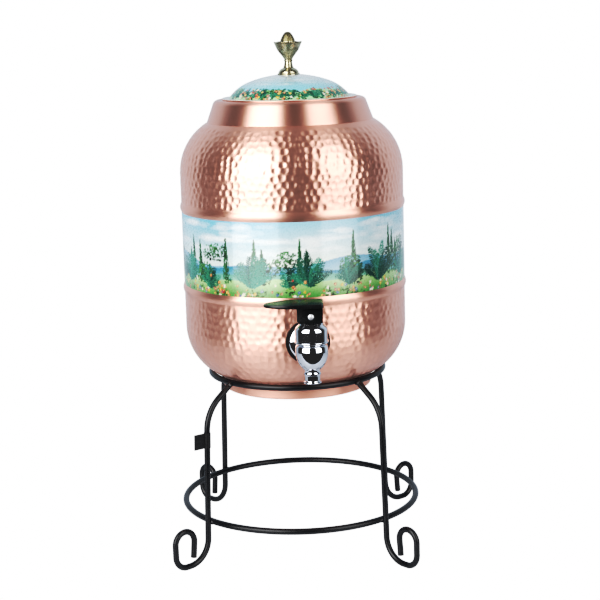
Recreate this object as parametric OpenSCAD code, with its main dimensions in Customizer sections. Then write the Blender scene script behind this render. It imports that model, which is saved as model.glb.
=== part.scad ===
// Copper water dispenser: a hammered pot with a lid and a lever tap, standing in a bar stand.
// Millimetres. Z is the pot's axis and points up, the floor is z = 0 and the tap points to -Y.

/* [Pot] */
// Outer radius of the pot's straight wall
body_r = 105; // [90:1:130]
// Thickness of the copper sheet
wall = 1; // [0.8:0.1:1.6]
// Radius of the rounded lower corner
bowl_r = 52; // [46:1:56]
// Height of the straight wall between bowl and shoulder
straight_h = 145; // [135:1:200]
// Radius of the rounded shoulder
shoulder_r = 54; // [48:1:60]
// Outer radius of the neck where it leaves the shoulder
neck_r = 78; // [74:0.5:84]
// Height of the neck from the shoulder to the lip
neck_h = 20.5; // [16:0.5:30]
// Outer radius of the flat part of the lip
lip_r = 67; // [65:0.5:70]
// Rounding of the lip's outer edge
lip_round = 5; // [3:0.5:6]
// Radius of the mouth
mouth_r = 58; // [52:0.5:60]
// Depth of the edge turned down inside the mouth
lip_down = 5; // [3:0.5:8]
// Length of the neck's tail soldered under the shoulder
neck_lap = 5; // [3:0.5:8]
// Solder gap between that tail and the shoulder
neck_gap = 0.05; // [0.03:0.01:0.1]

/* [Foot of the pot] */
// Outer radius of the foot hoop
foot_r = 71; // [66:0.5:74]
// Drop of the foot below the bottom of the bowl
foot_drop = 8.5; // [5:0.5:14]
// Width of the foot's turned-in flat
foot_flat_w = 6; // [4:0.5:10]

/* [Printed band] */
// Height of the band's lower edge above the top of the bowl
band_low = 41.5; // [35:0.5:50]
// Height of the printed band
band_h = 68; // [55:0.5:80]
// Height of the bead on each side of the band
bead_h = 8.5; // [6:0.5:10]
// Rise of a bead above the wall
bead_rise = 1.2; // [0.6:0.1:1.6]
// Length of the middle shell inside each bead
band_lap = 6; // [4:0.5:8]
// Thickness of the printed film
film = 0.3; // [0.2:0.05:0.5]

/* [Lid] */
// Radius of the lid's flange
lid_r = 63; // [60:0.5:65]
// Thickness of the lid's folded flange
lid_flange_t = 1.5; // [1:0.1:2.5]
// Radius where the dome leaves the flange
dome_r = 56.5; // [54:0.5:58]
// Radius of curvature of the dome's crown
crown_r = 109; // [95:1:125]
// Angle over which the crown's curve runs
crown_angle = 20; // [15:1:25]
// Radius of curvature of the dome's side
side_r = 42; // [40:1:48]
// Depth of the skirt below the flange
skirt_h = 12; // [8:0.5:18]
// Running clearance between skirt and mouth
skirt_gap = 0.8; // [0.4:0.1:1.5]

/* [Finial] */
// Radius of the finial's base
knob_base_r = 10.4; // [9:0.2:12]
// Height of the finial's waist above its base
knob_waist_z = 12.5; // [10:0.5:14]
// Radius of the finial's waist
knob_waist_r = 3.5; // [3.2:0.1:5]
// Height of the cup's rim above the base
knob_rim_z = 29.5; // [26:0.5:33]
// Radius of the cup's rim
knob_rim_r = 13; // [11:0.5:15]
// Thickness of the cup at its rim
knob_rim_t = 1.4; // [1:0.1:2]
// Number of petals round the cup
knob_petals = 6; // [5:1:8]
// Largest radius of the bud
bud_r = 7; // [5:0.5:8]
// Height of the bud's tip above the base
bud_tip_z = 39.5; // [36:0.5:44]
// Diameter of the finial's screw
knob_screw_d = 4; // [3:0.5:5]
// Depth of the screw's hole in the finial
knob_screw_depth = 8; // [6:0.5:9]
// Diameter of the screw's head
knob_head_d = 8; // [7:0.5:10]
// Height of the screw's head
knob_head_h = 2.6; // [2:0.2:4]
// Diameter of the washer under the screw's head
knob_washer_d = 16; // [12:0.5:18]
// Thickness of that washer
knob_washer_t = 1; // [0.6:0.1:2]
// Play of the screw in its holes
knob_play = 0.1; // [0.05:0.05:0.3]

/* [Stand] */
// Radius of the upper ring's centre line
ring_r = 82.5; // [78:0.5:88]
// Height of the upper ring's centre line
ring_z = 167; // [150:1:220]
// Diameter of the bar in both rings
ring_bar = 5.6; // [5:0.1:7]
// How much thinner the legs' bar is
bar_step = 0.2; // [0.1:0.1:1]
// Radius of the lower ring's centre line
base_ring_r = 112.5; // [108:0.5:118]
// Height of the lower ring's centre line
base_ring_z = 39.5; // [36:0.5:70]
// Depth to which the welds sink a leg into the lower ring
weld_bite = 0.8; // [0.4:0.1:1.2]
// How much thinner the bar is where it is bent
bend_thin = 0.06; // [0.04:0.02:0.2]
// Angle below level at which a leg leaves the upper ring
leg_drop = 36; // [28:1:44]
// Bend radius near the top of a leg
leg_bend_r = 36; // [28:1:42]
// Outward lean of a leg
leg_splay = 2; // [0:0.5:4]
// Bend radius from the leg into its scroll
scroll_in_r = 22; // [18:1:28]
// Straight run of the scroll on the floor
scroll_run = 4; // [2:0.5:10]
// Bend radius of the scroll's outer corner
scroll_out_r = 12.5; // [12:0.5:18]
// Straight rise on the outer side of the scroll
scroll_rise = 11; // [6:0.5:16]
// Bend radius over the top of the scroll
scroll_top_r = 10.9; // [8:0.1:11]
// Lean of the scroll's tail
tail_lean = 5; // [0:1:8]
// Length of the scroll's straight tail
tail_len = 15; // [8:0.5:18]
// Depth of the flat worn under each foot
foot_worn = 0.3; // [0.2:0.05:0.6]
// Angle of the stand about the pot's axis
stand_turn = -8.7; // [-45:0.1:45]
// Gap between the pot and the upper ring
seat_gap = 0.3; // [0.2:0.05:0.6]

/* [Tape tag] */
// Height of the tag
tag_h = 14; // [10:0.5:18]
// Length of the flag beyond the bar
tag_w = 12; // [8:0.5:16]
// Thickness of the tape round the bar
tag_t = 0.5; // [0.3:0.1:0.8]
// Distance of the tag below the leg's upper bend
tag_down = 2; // [0:0.5:20]

/* [Tap body] */
// Height of the tap's shank above the top of the bowl
tap_up = 1.5; // [0:0.5:12]
// Distance of the tap's axis from the pot's wall
tap_reach = 32; // [30:0.5:40]
// Diameter of the shank through the wall
shank_d = 16; // [14:0.5:18]
// Diameter of the neck between flange and bulb
tap_neck_d = 11; // [10:0.5:11.5]
// Diameter of the water way through shank and nozzle
water_d = 7; // [6:0.5:8]
// Diameter of the flange on the shank
flange_d = 32; // [28:0.5:36]
// Thickness of that flange
flange_t = 3; // [2:0.5:4]
// Diameter of the outer rubber washer
washer_d = 40; // [36:0.5:44]
// Thickness of the outer washer at its centre
washer_t = 2.5; // [2:0.5:4]
// Diameter of the inner rubber washer
inner_washer_d = 30; // [26:0.5:34]
// Thickness of the inner washer at its edge
inner_washer_t = 2; // [1.5:0.5:4]
// Width across flats of the back nut
nut_w = 26; // [23:0.5:30]
// Thickness of the back nut
nut_t = 6; // [4:0.5:9]
// Length of the shank beyond the back nut
shank_end = 5; // [2:0.5:10]
// Largest radius of the valve bulb
bulb_r = 14.6; // [14:0.1:17]
// Height of the bulb's widest point above the shank's axis
bulb_mid = -1.5; // [-4:0.5:-1]
// Half height of the bulb's egg shape
bulb_half = 19; // [18.5:0.5:22]
// Distance of the bulb's underside below the shank's axis
bulb_under = 18.5; // [17:0.5:19]
// Height of the bulb's top above the shank's axis
bulb_top = 6; // [6:0.5:8]
// Radius of the ring between bulb and nozzle
nozzle_ring_r = 7.9; // [7.4:0.1:9]
// Thickness of that ring
nozzle_ring_t = 3.6; // [2:0.2:4]
// Radius of the nozzle
nozzle_r = 6.7; // [5.8:0.1:7]
// Radius of the nozzle's lip
nozzle_lip_r = 8; // [7.4:0.1:8.6]
// Height of the nozzle's lip
nozzle_lip_h = 2.6; // [2:0.2:4]
// Distance of the nozzle's mouth below the shank's axis
nozzle_end = 30.3; // [29:0.1:40]
// Radius of the valve chamber
chamber_r = 10; // [9.5:0.1:10.5]
// Depth of the valve seat below the shank's axis
seat_down = 9; // [8:0.5:10]
// Height of the seat above the chamber's floor
seat_h = 1; // [0.6:0.1:1.4]
// Width of the seat
seat_w = 1.5; // [1:0.1:1.8]
// Outer radius of the threaded spigot under the bonnet
spigot_r = 12.2; // [11.8:0.1:12.8]
// Height of the spigot
spigot_h = 9; // [7:0.5:10]

/* [Bonnet] */
// Outer radius of the bonnet
bonnet_r = 15.1; // [14.6:0.1:17]
// Height of the bonnet's straight side
bonnet_h = 11; // [10:0.5:16]
// Radius of the bonnet's side above its bead
bonnet_side_r = 14.4; // [14:0.1:15]
// Height of the bead round the bonnet's lower edge
bonnet_bead_h = 1.8; // [1.4:0.2:4]
// Radius of the bonnet's flat top
bonnet_top_r = 10; // [9.6:0.1:12]
// Height of the bonnet's rounded shoulder
bonnet_cap_h = 7.3; // [6:0.1:9]
// Thickness of the bonnet's top
bonnet_top_t = 5.5; // [5:0.5:6]
// Rounding of the tap's small edges
tap_edge = 0.6; // [0.3:0.1:1]
// Clearance of the spigot in the bonnet
spigot_gap = 0.1; // [0.05:0.05:0.2]

/* [Valve] */
// Outer radius of the rubber cup
cup_r = 8.5; // [7.5:0.1:8.8]
// Height of the rubber cup
cup_h = 8; // [7:0.5:10]
// Radius of the hollow under the cup
cup_hollow_r = 4; // [3:0.1:4.2]
// Depth of that hollow
cup_hollow_h = 2; // [1:0.5:2.5]
// Diameter of the stem
stem_d = 8; // [7:0.2:9]
// Diameter of the stem's lower end in the cup
stem_tip_d = 5; // [4:0.2:6]
// Depth of that end in the cup
stem_tip_h = 5; // [4:0.5:5.5]
// Thickness of the stem's tongue
tongue_t = 5; // [4:0.2:5.2]
// Width of the stem's tongue
tongue_w = 6; // [5.4:0.1:6]
// Running clearance on a radius
run_gap = 0.05; // [0.03:0.01:0.1]
// Diameter of the spring's wire
wire_d = 1; // [0.8:0.1:1.2]
// Mean radius of the spring
spring_r = 6.4; // [6.2:0.1:7]
// Turns of the spring
spring_turns = 5; // [4:0.5:7]
// Clearance at each end of the spring
spring_gap = 0.05; // [0.02:0.01:0.2]

/* [Lever] */
// Height of the pin above the bonnet
pin_up = 6; // [5.6:0.1:8]
// Diameter of the pin
pin_d = 3; // [2.5:0.1:3.5]
// Diameter of the pin's head
pin_head_d = 5.4; // [4.6:0.2:6]
// Thickness of the pin's head
pin_head_t = 1; // [0.6:0.1:1.6]
// Clearance between lever and bonnet
cam_gap = 0.15; // [0.1:0.05:0.3]
// Distance of the cam's centre from the pin
cam_x = 9; // [7:0.1:9.4]
// Radius of the cam's corner
cam_r = 3.1; // [2.5:0.1:4]
// Reach of the lever's block on the side away from the paddle
block_back = 10.4; // [9:0.1:13]
// Width of the lever's block
block_w = 18; // [16:0.5:20]
// Reach of the paddle past the block's back
paddle_back = 0.9; // [0:0.1:2]
// Rounding of the block's back corners
block_round = 2; // [1:0.5:3]
// Height of the paddle's underside above the pin
paddle_low = 8.2; // [6:0.1:10]
// Thickness of the paddle over the block
paddle_t = 3.6; // [3:0.2:6]
// Thickness of the paddle's tip
tip_t = 2; // [1.6:0.2:2.6]
// Drop of the paddle's top at its tip
tip_drop = 1.2; // [0.4:0.2:1.4]
// Distance of the paddle's tip from the pin
paddle_len = 41; // [36:0.5:55]
// Width of the paddle
paddle_w = 27; // [18:0.5:29]
// Length of the paddle's pointed end, as a share of its width
tip_share = 0.85; // [0.5:0.05:0.95]
// Turn of the lever at rest, seen from above
lever_turn = -6; // [-15:1:0]
// Clearance of the stem in the lever's slot
slot_gap = 0.3; // [0.2:0.05:0.5]
// Largest angle of the lever's stroke
lever_stroke = 25; // [15:1:30]

/* [Hidden] */
$fn = 96;

// Heights and radii of the pot
bowl_c = body_r - bowl_r;
bowl_z = ring_z + sqrt(pow(bowl_r + ring_bar / 2 + seat_gap, 2) - pow(ring_r - bowl_c, 2));
bottom_z = bowl_z - bowl_r;
base_z = bottom_z - foot_drop;
band_z0 = bowl_z + band_low;
band_z1 = band_z0 + band_h;
shoulder_c = body_r - shoulder_r;
shoulder_z = bowl_z + straight_h;
neck_angle = acos((neck_r - shoulder_c) / shoulder_r);
neck_z = shoulder_z + shoulder_r * sin(neck_angle);
lip_z = neck_z + neck_h;
mid_r = body_r - film;
inner_r = body_r - wall;

// Tangent from the neck's foot to the lip's rounding
lip_dr = neck_r - lip_r;
lip_dz = neck_z - (lip_z - lip_round);
lip_angle = atan2(lip_dz, lip_dr) + acos(lip_round / norm([lip_dr, lip_dz]));

// Lid
flange_z = lip_z + lid_flange_t;
side_c = (crown_r - side_r) * sin(crown_angle);
side_angle = asin((dome_r - side_c) / side_r);
side_cz = flange_z - side_r * cos(side_angle);
crown_cz = side_cz - (crown_r - side_r) * cos(crown_angle);
seat_angle = asin(knob_base_r / crown_r);
knob_z = crown_cz + (crown_r - film) * cos(seat_angle);
lid_under_z = knob_z - wall;
skirt_r = mouth_r - skirt_gap;

// Stand
leg_bar = ring_bar - bar_step;
bend_in = 0.3;
foot_z = leg_bar / 2 - foot_worn;
leg_turn = 90 - leg_splay - leg_drop;
leg_at_ring = base_ring_r + (ring_bar + leg_bar) / 2 - weld_bite;
bend_out = leg_bend_r * (cos(leg_splay) - sin(leg_drop));
bend_down_z = leg_bend_r * (cos(leg_drop) - sin(leg_splay));
leg_run_1 = (leg_at_ring - ring_r - bend_out - tan(leg_splay) * (ring_z - bend_down_z - base_ring_z))
    / (cos(leg_drop) - tan(leg_splay) * sin(leg_drop));
leg_z1 = ring_z - leg_run_1 * sin(leg_drop) - bend_down_z;
leg_r1 = ring_r + leg_run_1 * cos(leg_drop) + bend_out;
leg_run_2 = (leg_z1 - scroll_in_r * (1 - sin(leg_splay)) - foot_z) / cos(leg_splay);

// Tap
tap_y = -(body_r + tap_reach);
tap_z = bowl_z + tap_up;
washer_y = -(body_r + washer_t);
inner_washer_y = -sqrt(inner_r * inner_r - inner_washer_d * inner_washer_d / 4) + inner_washer_t;
nut_y = inner_washer_y + nut_t;
shank_y = nut_y + shank_end;
bonnet_z = tap_z + bulb_top;
bonnet_top_z = bonnet_z + bonnet_h + bonnet_cap_h;
bonnet_under_z = bonnet_top_z - bonnet_top_t;
seat_z = tap_z - seat_down;
cup_top_z = seat_z + cup_h;
pin_z = bonnet_top_z + pin_up;
block_low = pin_up - cam_gap;
tongue_z = bonnet_top_z - cam_x * lever_stroke * PI / 180 - 1;

// Centre line of the valve's spring, and the least gap between its turns
spring_steps = 12;
spring_z0 = cup_top_z + spring_gap + wire_d / 2;
spring_z1 = bonnet_under_z - spring_gap - wire_d / 2;
spring_n = floor(spring_turns * spring_steps);
spring_line = [for (i = [0 : spring_n]) [spring_r * cos(360 * i / spring_steps),
    spring_r * sin(360 * i / spring_steps), spring_z0 + (spring_z1 - spring_z0) * i / spring_n]];
spring_space = min([for (i = [0 : spring_n - spring_steps])
    norm(spring_line[i + spring_steps] - spring_line[i])]) - wire_d;
echo(str("least gap between the spring's turns ", spring_space));

// Points on an arc, from angle a0 to angle a1
function arc(x, z, r, a0, a1, n) = [for (i = [0 : n]) [x + r * cos(a0 + (a1 - a0) * i / n),
    z + r * sin(a0 + (a1 - a0) * i / n)]];

// Points of a bead on the wall, from z0 upwards
function bead(z0) = [for (i = [0 : 12]) [body_r + bead_rise * sin(15 * i), z0 + bead_h * i / 12]];

// One closed outline: along a line of points and back along another
function turned(points, back) = concat(points, [for (i = [len(back) - 1 : -1 : 0]) back[i]]);

// A straight bar that hands its end on to its children
module run(length, d) {
    rotate([0, 90, 0])
        cylinder(d = d, h = length);
    translate([length, 0, 0])
        children();
}

// The round of a bend, a little longer at both ends so that it runs into its neighbours
module bend_round(r, angle, d) {
    more = bend_in / r * 180 / PI;
    rotate([0, 0, -more])
        rotate_extrude(angle = angle + 2 * more)
            translate([r, 0])
                circle(d = d - bend_thin);
}

// A bar bent towards +Z
module bend_up(r, angle, d) {
    translate([0, 0, r])
        rotate([90, 90, 0])
            bend_round(r, angle, d);
    translate([r * sin(angle), 0, r * (1 - cos(angle))])
        rotate([0, -angle, 0])
            children();
}

// A bar bent towards -Z
module bend_down(r, angle, d) {
    translate([0, 0, -r])
        rotate([-90, -90, 0])
            bend_round(r, angle, d);
    translate([r * sin(angle), 0, -r * (1 - cos(angle))])
        rotate([0, angle, 0])
            children();
}

// A ring of round bar
module hoop(r, z, d) {
    translate([0, 0, z])
        rotate_extrude()
            translate([r, 0])
                circle(d = d);
}

// One leg in the XZ plane, from the upper ring to the end of its scroll
module leg_bar_path() {
    translate([ring_r, 0, ring_z])
        rotate([0, leg_drop, 0])
            run(leg_run_1, leg_bar)
                bend_down(leg_bend_r, leg_turn, leg_bar)
                    run(leg_run_2, leg_bar)
                        bend_up(scroll_in_r, 90 - leg_splay, leg_bar)
                            run(scroll_run, leg_bar)
                                bend_up(scroll_out_r, 90, leg_bar)
                                    run(scroll_rise, leg_bar)
                                        bend_up(scroll_top_r, 180 + tail_lean, leg_bar)
                                            run(tail_len, leg_bar);
}

// The straight part of a leg, used to notch the lower ring
module leg_straight() {
    translate([leg_r1, 0, leg_z1])
        rotate([0, 90 - leg_splay, 0])
            run(leg_run_2, leg_bar);
}

// A leg coped to the upper ring and worn flat on the floor, turned to its place
module leg(angle) {
    color("#26262a")
        rotate([0, 0, angle + stand_turn])
            difference() {
                leg_bar_path();
                hoop(ring_r, ring_z, ring_bar);
                translate([0, -leg_bar, -leg_bar])
                    cube([2 * base_ring_r, 2 * leg_bar, leg_bar]);
            }
}

module top_ring() {
    color("#2a2a2e")
        hoop(ring_r, ring_z, ring_bar);
}

module bottom_ring() {
    color("#2a2a2e")
        difference() {
            hoop(base_ring_r, base_ring_z, ring_bar);
            for (angle = [45 : 90 : 315])
                rotate([0, 0, angle + stand_turn])
                    leg_straight();
        }
}

module front_left_leg() {
    leg(225);
}

module front_right_leg() {
    leg(315);
}

module back_left_leg() {
    leg(135);
}

module back_right_leg() {
    leg(45);
}

// Tape wound round the front left leg, its two ends stuck together as a flag
module leg_tag() {
    color("#111113")
        rotate([0, 0, 225 + stand_turn])
            translate([leg_r1, 0, leg_z1])
                rotate([0, -leg_splay, 0])
                    translate([0, 0, -tag_down - tag_h])
                        difference() {
                            union() {
                                cylinder(r = leg_bar / 2 + tag_t, h = tag_h);
                                translate([0, -tag_t, 0])
                                    cube([leg_bar / 2 + tag_w, 2 * tag_t, tag_h]);
                            }
                            translate([0, 0, -tag_h])
                                cylinder(d = leg_bar, h = 3 * tag_h);
                        }
}

// Everything inside the pot's outer surface, for fitting the tap's outer washer
module pot_outside() {
    rotate_extrude($fn = 360)
        polygon(concat(
            [[0, bottom_z]],
            arc(bowl_c, bowl_z, bowl_r, -90, 0, 24),
            [[body_r, band_z0], [0, band_z0]]));
}

// Everything inside the pot's inner surface, for fitting the tap's inner washer
module pot_inside() {
    rotate_extrude($fn = 360)
        polygon(concat(
            [[0, bottom_z + wall]],
            arc(bowl_c, bowl_z, bowl_r - wall, -90, 0, 24),
            [[inner_r, band_z0], [0, band_z0]]));
}

// A cylinder along the shank, from y0 inwards
module along_shank(d, y0, length) {
    translate([0, y0, tap_z])
        rotate([-90, 0, 0])
            cylinder(d = d, h = length);
}

module lower_shell() {
    color("#b9714d")
        difference() {
            rotate_extrude()
                polygon(turned(
                    concat(
                        [[0, bottom_z]],
                        arc(bowl_c, bowl_z, bowl_r, -90, 0, 24),
                        bead(band_z0 - bead_h)),
                    concat(
                        [[0, bottom_z + wall]],
                        arc(bowl_c, bowl_z, bowl_r - wall, -90, 0, 24),
                        [[inner_r, band_z0 - band_lap], [mid_r, band_z0 - band_lap], [mid_r, band_z0]])));
            along_shank(shank_d, -2 * body_r, 2 * body_r);
        }
}

module foot_ring() {
    color("#b06a48")
        difference() {
            rotate_extrude()
                polygon([
                    [foot_r - foot_flat_w, base_z], [foot_r - wall, base_z], [foot_r, base_z + wall],
                    [foot_r, bowl_z], [foot_r - wall, bowl_z], [foot_r - wall, base_z + wall],
                    [foot_r - foot_flat_w, base_z + wall]]);
            pot_outside();
        }
}

module middle_shell() {
    color("#a8633f")
        translate([0, 0, band_z0 - band_lap])
            difference() {
                cylinder(r = mid_r, h = band_h + 2 * band_lap);
                translate([0, 0, -wall])
                    cylinder(r = mid_r - wall, h = band_h + 2 * band_lap + 2 * wall);
            }
}

module print_band() {
    color("#9fc4c9")
        translate([0, 0, band_z0])
            difference() {
                cylinder(r = body_r, h = band_h);
                translate([0, 0, -wall])
                    cylinder(r = mid_r, h = band_h + 2 * wall);
            }
}

module upper_shell() {
    color("#b9714d")
        rotate_extrude()
            polygon(turned(
                concat(
                    bead(band_z1),
                    arc(shoulder_c, shoulder_z, shoulder_r, 0, neck_angle, 18)),
                concat(
                    [[mid_r, band_z1], [mid_r, band_z1 + band_lap], [inner_r, band_z1 + band_lap]],
                    arc(shoulder_c, shoulder_z, shoulder_r - wall, 0, neck_angle, 18))));
}

// Spun neck: a tail under the shoulder, a cone, a rounded lip and an edge turned down in the mouth
module neck_collar() {
    tail_r = shoulder_r - wall - neck_gap;
    tail_angle = neck_lap / shoulder_r * 180 / PI;
    color("#b5704f")
        rotate_extrude()
            polygon(turned(
                concat(
                    arc(shoulder_c, shoulder_z, tail_r, neck_angle - tail_angle, neck_angle, 3),
                    [[neck_r, neck_z]],
                    arc(lip_r, lip_z - lip_round, lip_round, lip_angle, 90, 10),
                    [[mouth_r, lip_z], [mouth_r, lip_z - lip_down]]),
                concat(
                    arc(shoulder_c, shoulder_z, tail_r - wall, neck_angle - tail_angle, neck_angle, 3),
                    arc(lip_r, lip_z - lip_round, lip_round - wall, lip_angle, 90, 10),
                    [[mouth_r + wall, lip_z - wall], [mouth_r + wall, lip_z - lip_down]])));
}

// Cast body of the tap: shank, flange, neck, bulb and nozzle, with the water way and the valve seat
module tap_body() {
    color("#c9ccd0")
        difference() {
            union() {
                translate([0, tap_y, tap_z])
                    rotate_extrude()
                        polygon(concat(
                            [[0, -nozzle_end], [nozzle_lip_r - tap_edge, -nozzle_end],
                                [nozzle_lip_r, tap_edge - nozzle_end],
                                [nozzle_lip_r, nozzle_lip_h - tap_edge - nozzle_end],
                                [nozzle_r, nozzle_lip_h + tap_edge - nozzle_end],
                                [nozzle_r, -bulb_under - nozzle_ring_t],
                                [nozzle_ring_r, tap_edge - bulb_under - nozzle_ring_t],
                                [nozzle_ring_r, -bulb_under - tap_edge]],
                            [for (i = [0 : 16]) let (z = -bulb_under + (bulb_top + bulb_under) * i / 16)
                                [bulb_r * sqrt(1 - pow((z - bulb_mid) / bulb_half, 2)), z]],
                            [[spigot_r, bulb_top], [spigot_r, bulb_top + spigot_h],
                                [0, bulb_top + spigot_h]]));
                along_shank(tap_neck_d, tap_y, washer_y - tap_y - flange_t / 2);
                along_shank(flange_d, washer_y - flange_t, flange_t);
                along_shank(shank_d, washer_y - flange_t / 2, shank_y - washer_y + flange_t / 2);
            }
            along_shank(water_d, tap_y, shank_y - tap_y + 1);
            translate([0, tap_y, tap_z])
                rotate_extrude()
                    polygon([
                        [0, -nozzle_end - 1], [water_d / 2, -nozzle_end - 1], [water_d / 2, -seat_down],
                        [water_d / 2 + seat_w, -seat_down], [water_d / 2 + seat_w, -seat_down - seat_h],
                        [chamber_r, -seat_down - seat_h], [chamber_r, bulb_top + spigot_h + 1],
                        [0, bulb_top + spigot_h + 1]]);
        }
}

// Rubber washer pressed against the curved wall
module outer_washer() {
    color("#161618")
        difference() {
            along_shank(washer_d, washer_y, body_r);
            along_shank(shank_d, washer_y - 1, body_r + 2);
            translate([0, washer_y + body_r / 2, tap_z - washer_d])
                translate([-washer_d, 0, 0])
                    cube([2 * washer_d, body_r, 2 * washer_d]);
            pot_outside();
        }
}

module inner_washer() {
    color("#161618")
        intersection() {
            difference() {
                along_shank(inner_washer_d, -body_r, body_r + inner_washer_y);
                along_shank(shank_d, -body_r - 1, body_r + 2);
            }
            pot_inside();
        }
}

module back_nut() {
    color("#b8bcc2")
        difference() {
            translate([0, inner_washer_y, tap_z])
                rotate([-90, 0, 0])
                    cylinder(d = nut_w / cos(30), h = nut_t, $fn = 6);
            along_shank(shank_d, inner_washer_y - 1, nut_t + 2);
        }
}

module bonnet() {
    color("#c9ccd0")
        translate([0, tap_y, 0])
            rotate_extrude()
                polygon(concat(
                    [[spigot_r + spigot_gap, bonnet_z], [bonnet_r - tap_edge, bonnet_z],
                        [bonnet_r, bonnet_z + tap_edge], [bonnet_r, bonnet_z + bonnet_bead_h],
                        [bonnet_side_r, bonnet_z + bonnet_bead_h + tap_edge]],
                    [for (a = [0 : 15 : 90]) [bonnet_top_r + (bonnet_side_r - bonnet_top_r) * cos(a),
                        bonnet_z + bonnet_h + bonnet_cap_h * sin(a)]],
                    [[stem_d / 2 + run_gap, bonnet_top_z], [stem_d / 2 + run_gap, bonnet_under_z],
                        [chamber_r, bonnet_under_z], [chamber_r, bonnet_z + spigot_h],
                        [spigot_r + spigot_gap, bonnet_z + spigot_h]]));
}

// Rubber cup that closes the seat, with a socket for the stem's end
module seat_cup() {
    color("#e4e2da")
        translate([0, tap_y, seat_z])
            difference() {
                cylinder(r = cup_r, h = cup_h);
                translate([0, 0, -1])
                    cylinder(r = cup_hollow_r, h = cup_hollow_h + 1);
                translate([0, 0, cup_h - stem_tip_h])
                    cylinder(r = stem_tip_d / 2 + run_gap, h = stem_tip_h + 1);
            }
}

// Compression spring between the cup and the bonnet, one unbroken wire
module valve_spring() {
    sides = 6;
    points = [for (i = [0 : spring_n]) for (j = [0 : sides - 1])
        let (out = wire_d / 2 * cos(360 * j / sides), up = wire_d / 2 * sin(360 * j / sides))
        spring_line[i] + [out * cos(360 * i / spring_steps), out * sin(360 * i / spring_steps), up]];
    faces = concat(
        [for (j = [1 : sides - 2]) [0, j, j + 1]],
        [for (j = [1 : sides - 2]) [spring_n * sides, spring_n * sides + j + 1, spring_n * sides + j]],
        [for (i = [0 : spring_n - 1]) for (j = [0 : sides - 1])
            [i * sides + j, (i + 1) * sides + j, (i + 1) * sides + (j + 1) % sides]],
        [for (i = [0 : spring_n - 1]) for (j = [0 : sides - 1])
            [i * sides + j, (i + 1) * sides + (j + 1) % sides, i * sides + (j + 1) % sides]]);
    color("#9a9da3")
        translate([0, tap_y, 0])
            polyhedron(points = points, faces = faces);
}

// Stem: a round rod with a thin end for the cup and a tongue for the lever's slot
module stem() {
    color("#c2c5ca")
        translate([0, tap_y, 0])
            rotate([0, 0, lever_turn])
                difference() {
                    union() {
                        translate([0, 0, cup_top_z - stem_tip_h + run_gap])
                            cylinder(d = stem_tip_d, h = stem_tip_h);
                        translate([0, 0, cup_top_z + run_gap])
                            cylinder(d = stem_d, h = tongue_z - cup_top_z - run_gap);
                        translate([0, tongue_t / 2, 0])
                            rotate([90, 0, 0])
                                linear_extrude(height = tongue_t)
                                    polygon(concat(
                                        [[-tongue_w / 2, tongue_z - tongue_w],
                                            [tongue_w / 2, tongue_z - tongue_w]],
                                        arc(0, pin_z, tongue_w / 2, 0, 180, 18)));
                    }
                    translate([0, stem_d, pin_z])
                        rotate([90, 0, 0])
                            cylinder(d = pin_d + 2 * run_gap, h = 2 * stem_d);
                }
}

// Side view of the lever's block, with the pin at its origin
module block_side() {
    polygon(concat(
        arc(-cam_x, cam_r - block_low, cam_r, 180, 270, 10),
        arc(block_back - block_round, block_round - block_low, block_round, 270, 360, 6),
        [[block_back, paddle_low + 1], [-cam_x - cam_r, paddle_low + 1]]));
}

// Side view of the paddle: a crowned top that falls to a thin round tip
module paddle_side() {
    top = paddle_low + paddle_t;
    corner = paddle_t / 2;
    tip_z = top - tip_drop - tip_t / 2;
    tip_x = tip_t / 2 - paddle_len;
    back = block_back + paddle_back;
    polygon(concat(
        arc(back - corner, top - corner, corner, 0, 90, 8),
        [for (i = [1 : 11]) let (t = i / 12) [(back - corner) * (1 - t) + tip_x * t,
            top - tip_drop * t * t]],
        arc(tip_x, tip_z, tip_t / 2, 90, 270, 8),
        [[-cam_x - cam_r, paddle_low], [back, paddle_low]]));
}

// Plan of the paddle, with a rounded tip
module paddle_plan() {
    back = block_back + paddle_back;
    polygon(concat(
        [for (a = [90 : 10 : 270]) [paddle_w * tip_share * (1 + cos(a)) - paddle_len,
            paddle_w / 2 * sin(a)]],
        arc(back - block_round, block_round - paddle_w / 2, block_round, 270, 360, 6),
        arc(back - block_round, paddle_w / 2 - block_round, block_round, 0, 90, 6)));
}

module lever() {
    slot_w = tongue_t + 2 * slot_gap;
    slot_r = tongue_w / 2 + slot_gap;
    color("#17171a")
        translate([0, tap_y, pin_z])
            rotate([0, 0, lever_turn])
                difference() {
                    union() {
                        translate([0, block_w / 2, 0])
                            rotate([90, 0, 0])
                                linear_extrude(height = block_w)
                                    block_side();
                        intersection() {
                            translate([0, paddle_w, 0])
                                rotate([90, 0, 0])
                                    linear_extrude(height = 2 * paddle_w)
                                        paddle_side();
                            linear_extrude(height = paddle_low + paddle_t + 1)
                                paddle_plan();
                        }
                    }
                    translate([0, slot_w / 2, 0])
                        rotate([90, 0, 0])
                            cylinder(r = slot_r, h = slot_w);
                    translate([-cam_x, -slot_w / 2, -2 * block_low])
                        cube([cam_x + slot_r, slot_w, 2 * block_low]);
                    translate([0, block_w, 0])
                        rotate([90, 0, 0])
                            cylinder(d = pin_d, h = 2 * block_w);
                }
}

// Steel pin through lever and stem, with a head at the front
module lever_pin() {
    color("#a9adb3")
        translate([0, tap_y, pin_z])
            rotate([0, 0, lever_turn])
                translate([0, -block_w / 2, 0])
                    rotate([-90, 0, 0])
                        union() {
                            cylinder(d = pin_d, h = block_w);
                            translate([0, 0, -pin_head_t])
                                cylinder(d = pin_head_d, h = pin_head_t);
                        }
}

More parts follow.
